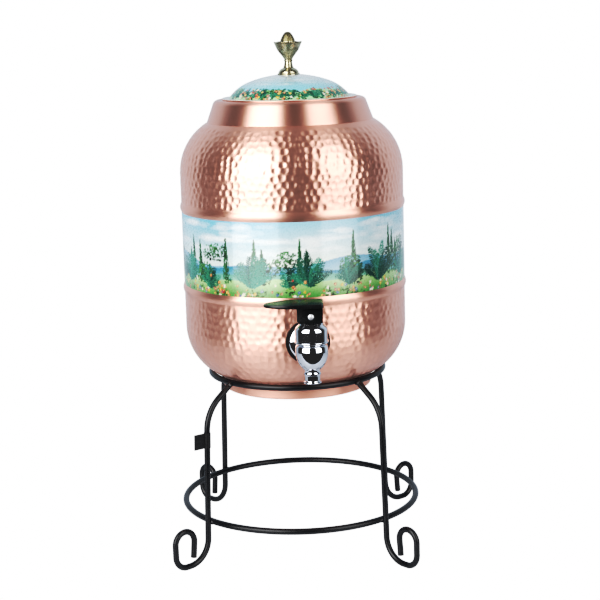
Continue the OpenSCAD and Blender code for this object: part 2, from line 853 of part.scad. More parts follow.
// Points on the dome from the finial's seat out to the flange, at a depth below the outer surface
function dome(depth) = concat(
    [for (i = [0 : 6]) let (a = seat_angle + (crown_angle - seat_angle) * i / 6)
        [(crown_r - depth) * sin(a), crown_cz + (crown_r - depth) * cos(a)]],
    [for (i = [1 : 10]) let (a = crown_angle + (side_angle - crown_angle) * i / 10)
        [side_c + (side_r - depth) * sin(a), side_cz + (side_r - depth) * cos(a)]]);

module lid_shell() {
    color("#b9714d")
        difference() {
            rotate_extrude()
                polygon(turned(
                    concat([[0, knob_z]], dome(film), [[lid_r, flange_z - film]]),
                    concat([[0, lid_under_z]], dome(film + wall), [[dome_r - wall, lip_z], [lid_r, lip_z]])));
            translate([0, 0, lid_under_z - 1])
                cylinder(d = knob_screw_d + 2 * knob_play, h = wall + 2);
        }
}

module lid_print() {
    color("#a9c9c4")
        rotate_extrude()
            polygon(turned(
                concat(dome(0), [[lid_r, flange_z]]),
                concat(dome(film), [[lid_r, flange_z - film]])));
}

module lid_skirt() {
    color("#a8633f")
        translate([0, 0, lip_z - skirt_h])
            difference() {
                cylinder(r = skirt_r, h = skirt_h);
                translate([0, 0, -1])
                    cylinder(r = skirt_r - wall, h = skirt_h + 2);
            }
}

// Brass finial: a domed foot, a waist with a bead, a scalloped cup and a bud
module finial() {
    cup_z = knob_waist_z + 1.5;
    bud_low = knob_rim_z - 4;
    foot_top_z = knob_waist_z / 2;
    foot_top_r = knob_waist_r + 1.2;
    foot_side_r = knob_base_r - 1;
    color("#b08a4a")
        translate([0, 0, knob_z])
            difference() {
                rotate_extrude()
                    polygon(concat(
                        [[0, 0], [knob_base_r, 0], [knob_base_r, 1.2]],
                        [for (i = [0 : 6]) [foot_top_r + (foot_side_r - foot_top_r) * cos(15 * i),
                            1.2 + (foot_top_z - 1.2) * sin(15 * i)]],
                        [for (i = [1 : 4]) let (t = i / 4) [knob_waist_r + (foot_top_r - knob_waist_r)
                            * pow(1 - t, 2), foot_top_z + (knob_waist_z - foot_top_z) * t]],
                        [[knob_waist_r + 0.4, knob_waist_z + 0.3], [knob_waist_r + 0.4, cup_z - 0.3],
                            [knob_waist_r, cup_z]],
                        [for (i = [1 : 10]) let (t = i / 10) [knob_waist_r + (knob_rim_r - knob_waist_r)
                            * pow(sin(90 * t), 1.4), cup_z + (knob_rim_z - cup_z) * t]],
                        [[knob_rim_r - knob_rim_t, knob_rim_z], [bud_r, bud_low]],
                        [for (i = [1 : 9]) let (t = i / 10) [bud_r * (1 - pow(t, 3.8)),
                            bud_low + (bud_tip_z - bud_low) * t]],
                        [[0, bud_tip_z]]));
                for (i = [0 : knob_petals - 1])
                    rotate([0, 0, 360 * (i + 0.5) / knob_petals])
                        translate([bud_r + 1, 0, knob_rim_z + 1.5])
                            rotate([0, 90, 0])
                                cylinder(d = knob_rim_r / 2, h = knob_rim_r);
                translate([0, 0, -1])
                    cylinder(d = knob_screw_d + 2 * knob_play, h = knob_screw_depth + 1);
            }
}

module finial_screw() {
    color("#8f9298")
        union() {
            translate([0, 0, lid_under_z - knob_washer_t])
                cylinder(d = knob_screw_d, h = knob_washer_t + wall + knob_screw_depth - 0.5);
            translate([0, 0, lid_under_z - knob_washer_t - knob_head_h])
                cylinder(d = knob_head_d, h = knob_head_h);
        }
}

module finial_washer() {
    color("#8f9298")
        translate([0, 0, lid_under_z - knob_washer_t])
            difference() {
                cylinder(d = knob_washer_d, h = knob_washer_t);
                translate([0, 0, -1])
                    cylinder(d = knob_screw_d + 2 * knob_play, h = knob_washer_t + 2);
            }
}

top_ring();
bottom_ring();
front_left_leg();
front_right_leg();
back_left_leg();
back_right_leg();
leg_tag();
lower_shell();
foot_ring();
middle_shell();
print_band();
upper_shell();
neck_collar();
tap_body();
outer_washer();
inner_washer();
back_nut();
bonnet();
seat_cup();
valve_spring();
stem();
lever();
lever_pin();
lid_shell();
lid_print();
lid_skirt();
finial();
finial_screw();
finial_washer();
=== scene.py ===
# %% [markdown]
# # A hammered copper water dispenser
# The construction model is already there: every solid has its true size and place, in metres.
# This file dresses it. A solid whose shape is good enough gets a better material, and a solid that
# needs hammer marks, soft edges or a printed picture is replaced by a finer piece in the same place.

# %% Load the frame
from math import acos, asin, atan2, cos, degrees, floor, hypot, pi, radians, sin, sqrt, tan

import bpy
import numpy as np
from mathutils import Matrix, Vector


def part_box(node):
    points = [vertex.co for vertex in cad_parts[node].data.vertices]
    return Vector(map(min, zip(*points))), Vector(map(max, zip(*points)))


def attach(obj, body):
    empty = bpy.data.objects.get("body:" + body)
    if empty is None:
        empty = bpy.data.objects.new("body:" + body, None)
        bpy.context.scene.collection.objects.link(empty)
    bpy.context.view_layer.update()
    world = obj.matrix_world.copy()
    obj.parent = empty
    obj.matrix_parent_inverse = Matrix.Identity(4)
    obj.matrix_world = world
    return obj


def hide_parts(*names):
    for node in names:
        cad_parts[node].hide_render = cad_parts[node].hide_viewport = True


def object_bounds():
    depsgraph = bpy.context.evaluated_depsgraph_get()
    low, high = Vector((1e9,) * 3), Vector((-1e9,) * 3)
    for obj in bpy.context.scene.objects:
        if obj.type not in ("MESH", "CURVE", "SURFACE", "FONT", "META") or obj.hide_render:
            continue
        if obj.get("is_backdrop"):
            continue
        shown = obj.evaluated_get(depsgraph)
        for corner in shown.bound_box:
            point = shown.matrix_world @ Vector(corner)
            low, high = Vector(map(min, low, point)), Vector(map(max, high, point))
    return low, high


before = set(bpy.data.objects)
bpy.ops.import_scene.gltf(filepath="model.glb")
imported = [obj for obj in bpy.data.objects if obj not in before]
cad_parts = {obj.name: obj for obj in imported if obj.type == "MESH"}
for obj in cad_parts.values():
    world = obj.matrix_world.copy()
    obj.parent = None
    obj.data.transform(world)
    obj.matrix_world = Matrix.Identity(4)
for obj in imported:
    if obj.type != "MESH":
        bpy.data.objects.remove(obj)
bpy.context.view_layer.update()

# %% [markdown]
# ## Camera
# The photograph was taken with a longish lens from a little above the pot's middle, slightly to the left
# of the tap, and the camera was not quite level. A camera could be aimed by hand, but its height, pitch and
# roll follow from the rings' ellipses in the picture, so they are written down as numbers.

# %% Camera
camera_turn, camera_away, camera_up = -5.5, 1.443, 0.5095
camera_yaw, camera_pitch, camera_roll = -0.18, -10.85, -1.65
sensor_mm, focal_pixels, photo_pixels = 36, 1530, 600
bpy.ops.object.camera_add()
camera = bpy.context.object
camera.name = "camera"
camera.data.sensor_width = sensor_mm
camera.data.lens = sensor_mm * focal_pixels / photo_pixels
camera.data.clip_end = 50
place = Vector((sin(radians(camera_turn)) * camera_away,
                -cos(radians(camera_turn)) * camera_away, camera_up))
aim = (Matrix.Rotation(radians(camera_turn + camera_yaw), 4, "Z")
       @ Matrix.Rotation(radians(90 + camera_pitch), 4, "X")
       @ Matrix.Rotation(radians(camera_roll), 4, "Z"))
camera.matrix_world = Matrix.Translation(place) @ aim
bpy.context.scene.camera = camera
view = bpy.context.scene.view_settings
view.view_transform = "Standard"
# A camera's own curve, flat in the lights and steep in the shades, turns copper pale where it shines and
# brown where it doesn't. Everything from white_level up shows as white.
white_level = 1.8
film_points = ((0.05, 0.016), (0.12, 0.042), (0.216, 0.10), (0.36, 0.26),
               (0.51, 0.41), (0.8, 0.61), (1.2, 0.79))
view.use_curve_mapping = True
film_curve = view.curve_mapping
film_curve.white_level = (white_level, white_level, white_level)
for light, shown in film_points:
    film_curve.curves[3].points.new(light / white_level, shown)
film_curve.update()
print("camera at", [round(v, 3) for v in place], "lens", round(camera.data.lens, 1))

# %% [markdown]
# ## Node and colour helpers
# Every material below is a small tree of nodes. One function turns a colour, an sRGB hex
# value, into the linear numbers that a shader wants, one adds a node with its settings, and one fills the
# sockets of a node, which is also how a finish reaches its shader.

# %% Node and colour helpers
def ink(code):
    """Linear colour of an sRGB hex value."""
    parts = [int(code[i:i + 2], 16) / 255 for i in (1, 3, 5)]
    return tuple(p / 12.92 if p <= 0.04045 else ((p + 0.055) / 1.055) ** 2.4 for p in parts) + (1.0,)


def join(tree, node, links=None, values=None):
    """Fills a node's sockets with links and values."""
    for key, value in (values or {}).items():
        node.inputs[key].default_value = value
    for key, source in (links or {}).items():
        tree.links.new(source, node.inputs[key])
    return node


def put(tree, kind, links=None, values=None, **settings):
    """Adds a node: settings are its own properties, links and values go to its sockets."""
    node = tree.nodes.new(kind)
    for key, value in settings.items():
        setattr(node, key, value)
    return join(tree, node, links, values)


def finish_named(name):
    """An empty material: its tree, its shader and the object's own coordinates."""
    material = bpy.data.materials.new(name)
    material.use_nodes = True
    tree = material.node_tree
    shader = tree.nodes["Principled BSDF"]
    where = put(tree, "ShaderNodeTexCoord").outputs["Object"]
    return material, tree, shader, where


print("a mid grey is", [round(v, 3) for v in ink("#808080")])

# %% [markdown]
# ## Table, room and lamps
# Polished metal shows the room more than its own colour. The reflections in the photograph tell what was
# there: two tall diffuser panels in front, left and right, with a dark gap between them where the camera
# stood, dark gaps at the sides, and a bluish daylight backdrop behind. The table is a white sheet that ends
# in front of the stand, which chrome shows as a dark hollow over a white rim. A ready-made studio picture
# would light the pot too, but its reflections would fall in other places.

# %% Table, room and lamps
table_wide, table_deep, table_back = 1.8, 1.14, 0.3
bpy.ops.object.select_all(action="DESELECT")
bpy.ops.mesh.primitive_plane_add(size=1, location=(0, table_back, 0))
table = bpy.context.object
table.name = "table"
table.scale = (table_wide, table_deep, 1)
bpy.ops.object.transform_apply(location=True, rotation=False, scale=True)
table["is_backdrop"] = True
paper, tree, shader, where = finish_named("gloss_white_paper")
# Coated paper: almost white, faintly cloudy from its fibres, with a gloss that shows the panels again.
cloud = put(tree, "ShaderNodeTexNoise", {"Vector": where}, {"Scale": 30.0, "Detail": 3.0})
tint = put(tree, "ShaderNodeMix", {"Factor": cloud.outputs["Fac"]},
           {"A": ink("#d0d6de"), "B": ink("#d9dee5")}, data_type="RGBA")
join(tree, shader, {"Base Color": tint.outputs["Result"]}, {"Roughness": 0.22})
# In the picture itself table and backdrop are plain white, as in the photograph.
pure_white = {"Color": (1, 1, 1, 1), "Strength": white_level}
ray = put(tree, "ShaderNodeLightPath").outputs["Is Camera Ray"]
glow = put(tree, "ShaderNodeEmission", None, pure_white)
seen = put(tree, "ShaderNodeMixShader", {0: ray, 1: shader.outputs[0], 2: glow.outputs[0]})
join(tree, tree.nodes["Material Output"], {"Surface": seen.outputs[0]})
table.data.materials.append(paper)

front_dark, daylight = (0.072, 0.068, 0.068, 1), (0.80, 0.92, 1.05, 1)
world = bpy.data.worlds.new("room")
bpy.context.scene.world = world
world.use_nodes = True
tree = world.node_tree
tree.nodes.clear()
heading = put(tree, "ShaderNodeTexCoord").outputs["Generated"]
# The backdrop stood a little askew: it starts earlier on the right.
backward = put(tree, "ShaderNodeVectorMath", {0: heading}, {1: (0.15, 1, 0)}, operation="DOT_PRODUCT")
behind = put(tree, "ShaderNodeMapRange", {"Value": backward.outputs["Value"]},
             {"From Min": 0.08, "From Max": 0.58}, interpolation_type="SMOOTHSTEP")
backdrop = put(tree, "ShaderNodeMix", {"Factor": behind.outputs["Result"]},
               {"A": front_dark, "B": daylight}, data_type="RGBA")
room = put(tree, "ShaderNodeBackground", {"Color": backdrop.outputs["Result"]})
white = put(tree, "ShaderNodeBackground", None, pure_white)
ray = put(tree, "ShaderNodeLightPath").outputs["Is Camera Ray"]
seen = put(tree, "ShaderNodeMixShader", {0: ray, 1: room.outputs[0], 2: white.outputs[0]})
put(tree, "ShaderNodeOutputWorld", {"Surface": seen.outputs[0]})

panel_away, panel_low, panel_high = 1.2, 0.05, 2.1


def panel(name, turn, wide, radiance):
    """An upright diffuser that faces the pot's axis. Its power follows from how bright it should look."""
    tall = panel_high - panel_low
    bpy.ops.object.light_add(type="AREA")
    lamp = bpy.context.object
    lamp.name = name
    lamp.data.shape = "RECTANGLE"
    lamp.data.size = wide
    lamp.data.size_y = tall
    lamp.data.energy = radiance * pi * wide * tall
    out = Vector((sin(radians(turn)), -cos(radians(turn)), 0))
    lamp.location = out * panel_away + Vector((0, 0, (panel_low + panel_high) / 2))
    lamp.rotation_mode = "QUATERNION"
    lamp.rotation_quaternion = out.to_track_quat("Z", "Y")


panel("left_panel", turn=camera_turn - 38.5, wide=1.08, radiance=7.0)
panel("right_panel", turn=camera_turn + 46.5, wide=0.84, radiance=4.6)

# %% [markdown]
# ## Turning a piece
# Most of the dispenser is round: spun copper, turned brass, cast chrome. A round piece is drawn as half
# of its section: one point is walked round the outline with extrude, and a Screw modifier turns the line
# about its axis like a lathe. The spin operator would do too, but it is slow for fine meshes.

# %% Turning a piece
def walked(name, start, moves):
    """Merges a plane to one point and walks it along an outline, in metres. Stays in edit mode."""
    bpy.ops.object.select_all(action="DESELECT")
    bpy.ops.mesh.primitive_plane_add(size=0.001)
    piece = bpy.context.object
    piece.name = piece.data.name = name
    bpy.ops.object.mode_set(mode="EDIT")
    bpy.ops.mesh.select_all(action="SELECT")
    bpy.ops.mesh.merge(type="CENTER")
    bpy.ops.transform.translate(value=start)
    for move in moves:
        bpy.ops.mesh.extrude_region_move(TRANSFORM_OT_translate={"value": move})
    return piece


def only(piece):
    """Selects one piece alone and makes it the active one."""
    bpy.ops.object.select_all(action="DESELECT")
    piece.select_set(True)
    bpy.context.view_layer.objects.active = piece


def clean(piece, smooth=30):
    """Merges doubles, points the faces outwards and smooths all but the sharp edges."""
    only(piece)
    bpy.ops.object.mode_set(mode="EDIT")
    bpy.ops.mesh.select_all(action="SELECT")
    bpy.ops.mesh.remove_doubles(threshold=2e-6)
    bpy.ops.mesh.normals_make_consistent(inside=False)
    bpy.ops.object.mode_set(mode="OBJECT")
    bpy.ops.object.shade_smooth_by_angle(angle=radians(smooth))


def turned(name, outline, steps, centre=(0, 0, 0), along="Z", smooth=30):
    """Turns an outline of (radius, height) points, in millimetres, about an axis through centre."""
    rise = Vector((0, 0, 1)) if along == "Z" else Vector((0, 1, 0))
    points = [(Vector((r, 0, 0)) + rise * h) / 1000 for r, h in outline]
    piece = walked(name, points[0], [b - a for a, b in zip(points, points[1:])])
    bpy.ops.object.mode_set(mode="OBJECT")
    lathe = piece.modifiers.new("lathe", "SCREW")
    lathe.axis = along
    lathe.steps = lathe.render_steps = steps
    lathe.use_merge_vertices = True
    lathe.merge_threshold = 1e-6
    bpy.ops.object.modifier_apply(modifier="lathe")
    clean(piece, smooth)
    piece.location = Vector(centre) / 1000
    bpy.ops.object.transform_apply(location=True, rotation=False, scale=False)
    return piece


def arc(r, h, radius, start, end, count):
    """Points on an arc, angles in degrees."""
    turns = np.radians(np.linspace(start, end, count + 1))
    return [(r + radius * cos(t), h + radius * sin(t)) for t in turns]


def line(a, b, count):
    """Points on a straight line, without its first one."""
    return [(a[0] + (b[0] - a[0]) * i / count, a[1] + (b[1] - a[1]) * i / count)
            for i in range(1, count + 1)]


def dress(piece, material, body, slot, *nodes):
    """Gives a finished piece its material and the body it moves with, and hides the solids it stands for."""
    piece.data.materials.clear()
    piece.data.materials.append(material)
    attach(piece, body)
    if nodes:
        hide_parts(*nodes)
    print(piece.name, len(piece.data.polygons), "faces")


# %% [markdown]
# ## Copper
# The pot is copper sheet under a clear lacquer. Neck and lid are spun and buffed, so they carry fine lines
# round the axis, and the lines draw every highlight out up and down: that is what the anisotropy is for. The
# hammered shells are scoured the same way before the blows. The foot is only scoured and mirrors nothing
# sharply. All have slight clouds of darker metal where the lacquer is thin. A picture of copper would be
# quicker, but its lights would not move with the pot.

# %% Copper
def copper(name, deep, rough, stretch, lines, brush, metal):
    """Lacquered copper: the darker of its two tones, its roughness, and how its lines run and show."""
    material, tree, shader, where = finish_named(name)
    clouds = put(tree, "ShaderNodeTexNoise", {"Vector": where},
                 {"Scale": 28.0, "Detail": 4.0, "Roughness": 0.55})
    hue = put(tree, "ShaderNodeMix", {"Factor": clouds.outputs["Fac"]},
              {"A": ink("#f2c0af"), "B": ink(deep)}, data_type="RGBA")
    squeeze = put(tree, "ShaderNodeMapping", {"Vector": where}, {"Scale": stretch})
    grain = put(tree, "ShaderNodeTexNoise", {"Vector": squeeze.outputs[0]}, {"Scale": 1.0, "Detail": 2.0})
    gloss = put(tree, "ShaderNodeMapRange", {"Value": grain.outputs["Fac"]},
                {"From Min": 0.3, "From Max": 0.7, "To Min": rough[0], "To Max": rough[1]})
    bump = put(tree, "ShaderNodeBump", {"Height": grain.outputs["Fac"]},
               {"Strength": lines, "Distance": 0.00005})
    # Lacquer and fine scratches scatter part of the light, so the metal never turns black between the lamps.
    join(tree, shader, {"Base Color": hue.outputs["Result"], "Roughness": gloss.outputs["Result"],
                        "Normal": bump.outputs["Normal"]},
         {"Metallic": metal, "Anisotropic": brush, "Anisotropic Rotation": 0.25, "Coat Weight": 0.1,
          "Coat Roughness": 0.15})
    return material


# Hammering leaves an even grain: tall soft lights, which the dents break up at their edges.
hammered = copper("hammered_lacquered_copper", "#e6ae9c", rough=(0.34, 0.38), stretch=(330, 330, 330),
                  lines=0.05, brush=0.88, metal=0.90)
# Buffing lines are noise stretched round the axis, 0.8 mm apart: coarser than real ones, so that they show.
round_the_axis = (20, 20, 1250)
buffed = copper("buffed_lacquered_copper", "#e7b09f", rough=(0.37, 0.41), stretch=round_the_axis,
                lines=0.08, brush=0.93, metal=0.935)
# Scouring leaves the foot dull: broad, soft lights and no dark gap between them.
satin = copper("scoured_lacquered_copper", "#e7b09f", rough=(0.56, 0.62), stretch=round_the_axis,
               lines=0.08, brush=0.5, metal=0.90)
print("copper finishes", hammered.name, buffed.name, satin.name)

# %% [markdown]
# ## Hammer marks
# Each blow of a ball hammer leaves a round dent a few millimetres wide. The blows follow rough rows round
# the pot, and no two are quite alike. A bump map could fake them, but real dents also break up the
# highlights from every side, so the dense mesh itself is pushed in where a blow landed.

# %% Hammer marks
# Where the rows start, in millimetres. The rest are shares of the pitch: the step from row to row, a dent's
# radius, and how far single blows and whole rows stray.
first_row, row_share, dent_share, stray, row_stray = 4.5, 0.87, (0.42, 0.50), 0.13, 0.12


def points_of(piece):
    """The piece's points in millimetres."""
    flat = np.zeros(len(piece.data.vertices) * 3)
    piece.data.vertices.foreach_get("co", flat)
    return flat.reshape(-1, 3) * 1000


def move_points(piece, spot):
    """Puts the piece's points at new places, in millimetres."""
    piece.data.vertices.foreach_set("co", (spot / 1000).ravel())
    piece.data.update()


def hammer(piece, edge, corner, way, last_row, pitch, depths, seed):
    """Dents a shell from the edge of its bead along the wall and round the corner, up (1) or down (-1)."""
    dice = np.random.default_rng(seed)
    spot = points_of(piece)
    radius, turn = np.hypot(spot[:, 0], spot[:, 1]), np.arctan2(spot[:, 1], spot[:, 0])
    corner_r, corner_c, corner_z = corner
    past = way * (spot[:, 2] - corner_z)
    tilt = np.where(past > 0, np.arctan2(past, np.maximum(radius - corner_c, 1e-6)), 0)
    run = np.where(past > 0, way * (corner_z - edge) + corner_r * tilt, way * (spot[:, 2] - edge))
    off = np.where(past > 0, np.hypot(radius - corner_c, past) - corner_r, radius - corner_c - corner_r)
    on_face = (np.abs(off) < 0.2) & (run > 0.5) & (radius > corner_c)
    depth = np.zeros(len(spot))
    step = pitch * row_share
    total = int((last_row - first_row) / step) + 1
    for row in range(total):
        level = first_row + row * step
        near = on_face & (np.abs(run - level) < pitch)
        if not near.any():
            continue
        ring = radius[near & (np.abs(run - level) < pitch * 0.5)].mean()
        blows = int(2 * pi * ring / pitch)
        shift = 0.5 * (row % 2) + dice.normal(0, row_stray)
        wander = dice.normal(0, stray, (blows, 2)) * pitch
        wide = pitch * dice.uniform(*dent_share, blows)
        deep = dice.uniform(*depths, blows)
        column = (turn[near] / (2 * pi) * blows - shift) % blows
        for side in (-1, 0, 1):
            which = (np.floor(column).astype(int) + side) % blows
            apart = (column - (np.floor(column) + side + 0.5)) * 2 * pi * radius[near] / blows
            gone = (apart - wander[which, 0]) ** 2 + (run[near] - level - wander[which, 1]) ** 2
            dent = deep[which] * np.clip(1 - gone / wide[which] ** 2, 0, 1)
            depth[near] = np.maximum(depth[near], dent)
    outward = np.stack([np.cos(tilt) * np.cos(turn), np.cos(tilt) * np.sin(turn), way * np.sin(tilt)], 1)
    move_points(piece, spot - outward * depth[:, None])
    print(piece.name, "deepest dent", round(float(depth.max()), 2), "mm over", total, "rows")


# %% [markdown]
# ## Lower shell
# The lower shell is one raised bowl: a flat bottom, a round corner and a straight wall that ends in a rolled
# bead under the printed band. Its outline is walked from the bottom's centre up the outside and back down
# the inside, close together where the hammer will work and far apart elsewhere.

# %% Lower shell
body_r, wall, film = 105.0, 1.0, 0.3
bowl_r, bowl_c, bowl_z = 52.0, 53.0, 213.54
band_low, band_high = 255.04, 323.04
bead_h, bead_rise, lap = 8.5, 1.2, 6.0
low_edge, bottom, centre_hole = band_low - bead_h, bowl_z - bowl_r, 0.01


def bead(low, count=14):
    """A rolled bead: half a wave outwards."""
    return [(body_r + bead_rise * sin(pi * i / count), low + bead_h * i / count)
            for i in range(count + 1)]


outside = ([(centre_hole, bottom)] + line((centre_hole, bottom), (bowl_c - 1, bottom), 8)
           + arc(bowl_c, bowl_z, bowl_r, -90, 0, 74) + line((body_r, bowl_z), (body_r, low_edge - 1), 30)
           + bead(low_edge))
inside = ([(body_r - film, band_low), (body_r - film, band_low - lap), (body_r - wall, band_low - lap)]
          + arc(bowl_c, bowl_z, bowl_r - wall, 0, -90, 12) + [(centre_hole, bottom + wall)])
lower = turned("lower_shell_hammered", outside + inside, steps=640)
hammer(lower, low_edge, (bowl_r, bowl_c, bowl_z), way=-1, last_row=100, pitch=7.4, depths=(0.20, 0.42), seed=11)
dress(lower, hammered, "pot", "hammered_copper", "lower_shell")

# %% [markdown]
# ## Upper shell
# The upper shell starts with the bead above the band, rises straight and turns in over the shoulder to the
# neck. The hammer stops short of the neck's seam, where the metal stays smooth.

# %% Upper shell
shoulder_r, shoulder_c, shoulder_z, neck_turn = 54.0, 51.0, 358.54, 60.0
high_edge = band_high + bead_h
outside = (bead(band_high) + line((body_r, high_edge), (body_r, shoulder_z), 35)
           + arc(shoulder_c, shoulder_z, shoulder_r, 0, neck_turn, 70)[1:])
inside = (arc(shoulder_c, shoulder_z, shoulder_r - wall, neck_turn, 0, 12)
          + [(body_r - wall, band_high + lap), (body_r - film, band_high + lap), (body_r - film, band_high),
             (body_r, band_high)])
upper = turned("upper_shell_hammered", outside + inside, steps=700)
hammer(upper, high_edge, (shoulder_r, shoulder_c, shoulder_z), way=1, last_row=77, pitch=7.2,
       depths=(0.24, 0.46), seed=23)
dress(upper, hammered, "pot", "hammered_copper", "upper_shell")

# %% [markdown]
# ## Neck and foot
# Neck and foot are plain spun rings. The neck is buffed bright. It leans in, rolls over into the lip and ends
# in an edge turned down inside the mouth. The foot is a scoured hoop soldered under the bowl.

# %% Neck and foot
neck_r, neck_z, lip_r, lip_z, lip_round = 78.0, 405.30, 67.0, 425.80, 5.0
mouth_r, lip_down, mouth_edge, tail_turn, solder = 58.0, 5.0, 0.6, 5.3, 0.05
lean_r, lean_z = neck_r - lip_r, neck_z - (lip_z - lip_round)
neck_lean = degrees(atan2(lean_z, lean_r) + acos(lip_round / hypot(lean_r, lean_z)))
tail = shoulder_r - wall - solder
outline = (arc(shoulder_c, shoulder_z, tail, neck_turn - tail_turn, neck_turn, 4)
           + [(neck_r - 0.25, neck_z - 0.4), (neck_r, neck_z)]
           + arc(lip_r, lip_z - lip_round, lip_round, neck_lean, 90, 14)
           + arc(mouth_r + mouth_edge, lip_z - mouth_edge, mouth_edge, 90, 180, 4)
           + [(mouth_r, lip_z - lip_down), (mouth_r + wall, lip_z - lip_down), (mouth_r + wall, lip_z - wall)]
           + arc(lip_r, lip_z - lip_round, lip_round - wall, 90, neck_lean, 8)
           + arc(shoulder_c, shoulder_z, tail - wall, neck_turn, neck_turn - tail_turn, 4))
neck = turned("neck_collar_spun", outline + outline[:1], steps=200)
dress(neck, buffed, "pot", "smooth_copper", "neck_collar")

foot_r, foot_z, foot_flat, foot_out, foot_in = 71.0, 153.04, 6.0, 1.4, 0.4
foot_top = bowl_z - sqrt(bowl_r ** 2 - (foot_r - bowl_c) ** 2)
foot_top_in = bowl_z - sqrt(bowl_r ** 2 - (foot_r - wall - bowl_c) ** 2)
outline = ([(foot_r - foot_flat, foot_z)] + arc(foot_r - foot_out, foot_z + foot_out, foot_out, -90, 0, 6)
           + [(foot_r, foot_top - solder), (foot_r - wall, foot_top_in - solder),
              (foot_r - wall, foot_z + wall + foot_in), (foot_r - wall - foot_in, foot_z + wall),
              (foot_r - foot_flat, foot_z + wall)])
foot = turned("foot_ring_spun", outline + outline[:1], steps=200)
dress(foot, satin, "pot", "smooth_copper", "foot_ring")

# %% [markdown]
# ## Painting a printed picture
# The band and the lid carry a glossy printed picture of a garden. An image file would be the usual way, but
# a picture can also be painted by code: leaves, hills and blossoms are soft dabs on a grid of colours, and
# the grid is stored on the points of a dense mesh as a colour attribute. The design is made up here.

# %% Painting a printed picture
grain_per_mm = 2.7
dice = np.random.default_rng(5)


def blend(a, b, part):
    """Part of the way from a to b."""
    return a * (1 - part) + b * part


def tone(a, b, part):
    """A colour part of the way from colour a to colour b."""
    return blend(np.array(a[:3]), np.array(b[:3]), part)


def dab(picture, x, y, long, wide, turn, colour, cover=1.0):
    """One soft-edged oval, placed in millimetres. The picture goes round and joins itself at its ends."""
    tall, broad = picture.shape[:2]
    reach = max(long, wide) / 2 + 0.6
    rows = np.arange(max(0, int((y - reach) * grain_per_mm)),
                     min(tall, int((y + reach) * grain_per_mm) + 2))
    columns = np.arange(int(floor((x - reach) * grain_per_mm)), int((x + reach) * grain_per_mm) + 2)
    if not len(rows):
        return
    up, across = np.meshgrid(rows / grain_per_mm - y, columns / grain_per_mm - x, indexing="ij")
    c, s = cos(turn), sin(turn)
    away = ((across * c + up * s) / (long / 2)) ** 2 + ((up * c - across * s) / (wide / 2)) ** 2
    mask = np.clip((1.2 - away) / 0.4, 0, 1)[..., None] * cover
    spot = np.ix_(rows, columns % broad)
    picture[spot] = blend(picture[spot], np.array(colour[:3]), mask)


def on_plant(x, y, side, rise, up):
    """A place beside and above the root x, y of a plant that grows towards up."""
    return x + side * sin(up) + rise * cos(up), y - side * cos(up) + rise * sin(up)


def shrub(picture, x, y, size, up, dark, light):
    """A rounded shrub of small leaves, lighter on its upper left."""
    for i in range(int(size * size * 0.95)):
        away, around = sqrt(dice.uniform()) * size, dice.uniform(0, 2 * pi)
        side, rise = away * cos(around) * 1.1, away * sin(around) * 0.85
        shade = np.clip(0.35 + 0.4 * rise / size - 0.25 * side / size + dice.normal(0, 0.18), 0, 1)
        dab(picture, *on_plant(x, y, side, rise, up), dice.uniform(1.6, 3.0), dice.uniform(0.9, 1.5),
            dice.uniform(0, pi), tone(dark, light, shade), 0.9)


def cypress(picture, x, y, tall, wide, up, dark, light):
    """A slim evergreen that tapers to its tip."""
    for i in range(int(tall * wide * 0.9)):
        part = dice.uniform() ** 0.8
        half = wide / 2 * (1 - part ** 1.7) * (0.55 + 0.45 * min(1, part * 6))
        side, rise = dice.uniform(-1, 1) * half, part * tall
        shade = np.clip(0.4 - 0.5 * side / wide + dice.normal(0, 0.2), 0, 1)
        dab(picture, *on_plant(x, y, side, rise, up), dice.uniform(1.8, 3.2), 0.9,
            up + dice.normal(0, 0.25), tone(dark, light, shade), 0.9)


def fern(picture, x, y, tall, fronds, up, dark, light):
    """A fern: arching fronds from one root, each with leaflets in pairs."""
    stride = 1.5
    for i in range(fronds):
        lean = (i / max(1, fronds - 1) - 0.5) * 2.3 + dice.normal(0, 0.08)
        reach = tall * (1 - 0.25 * abs(lean)) * dice.uniform(0.85, 1.05)
        hue = tone(dark, light, dice.uniform(0.1, 0.9))
        px, py, heading = x, y, up - lean * 0.45
        pairs = int(reach / stride)
        for k in range(pairs):
            px += stride * cos(heading)
            py += stride * sin(heading)
            heading -= lean * 0.9 / pairs
            blade = (0.9 + 4.6 * sin(pi * min(1, (k + 2) / (pairs + 2))) ** 0.8) * tall / 34
            dab(picture, px, py, 2.0, 0.5, heading, tone(hue, dark, 0.4))
            for side in (-1, 1):
                aim = heading + side * 1.0
                dab(picture, px + blade / 2 * cos(aim), py + blade / 2 * sin(aim),
                    blade, 0.95, aim, hue)


def blossom(picture, x, y, colour, size):
    """A small round flower with a pale heart."""
    for k in range(5):
        around = k * 1.257 + dice.uniform(0, 1)
        dab(picture, x + size * 0.45 * cos(around), y + size * 0.45 * sin(around),
            size * 0.75, size * 0.6, around, tone(colour, (1, 1, 1), dice.uniform(0, 0.2)))
    dab(picture, x, y, size * 0.45, size * 0.45, 0, ink("#f7e7a0"))


leaf_dark, leaf_light = ink("#0a2216"), ink("#5b9656")
teal = ink("#08322f"), ink("#4c9c84")
petals = [ink(c) for c in ("#b4301f", "#c96a28", "#dcae48", "#efe8da", "#a83f4c", "#3f62a3")]
print("picture grain", grain_per_mm, "dots per mm")

# %% [markdown]
# ## Garden on the band
# The band shows a garden by a lake: a pale sky with clouds, blue hills, light meadow, dark evergreens,
# ferns and shrubs, and small bright flowers along the lower edge.

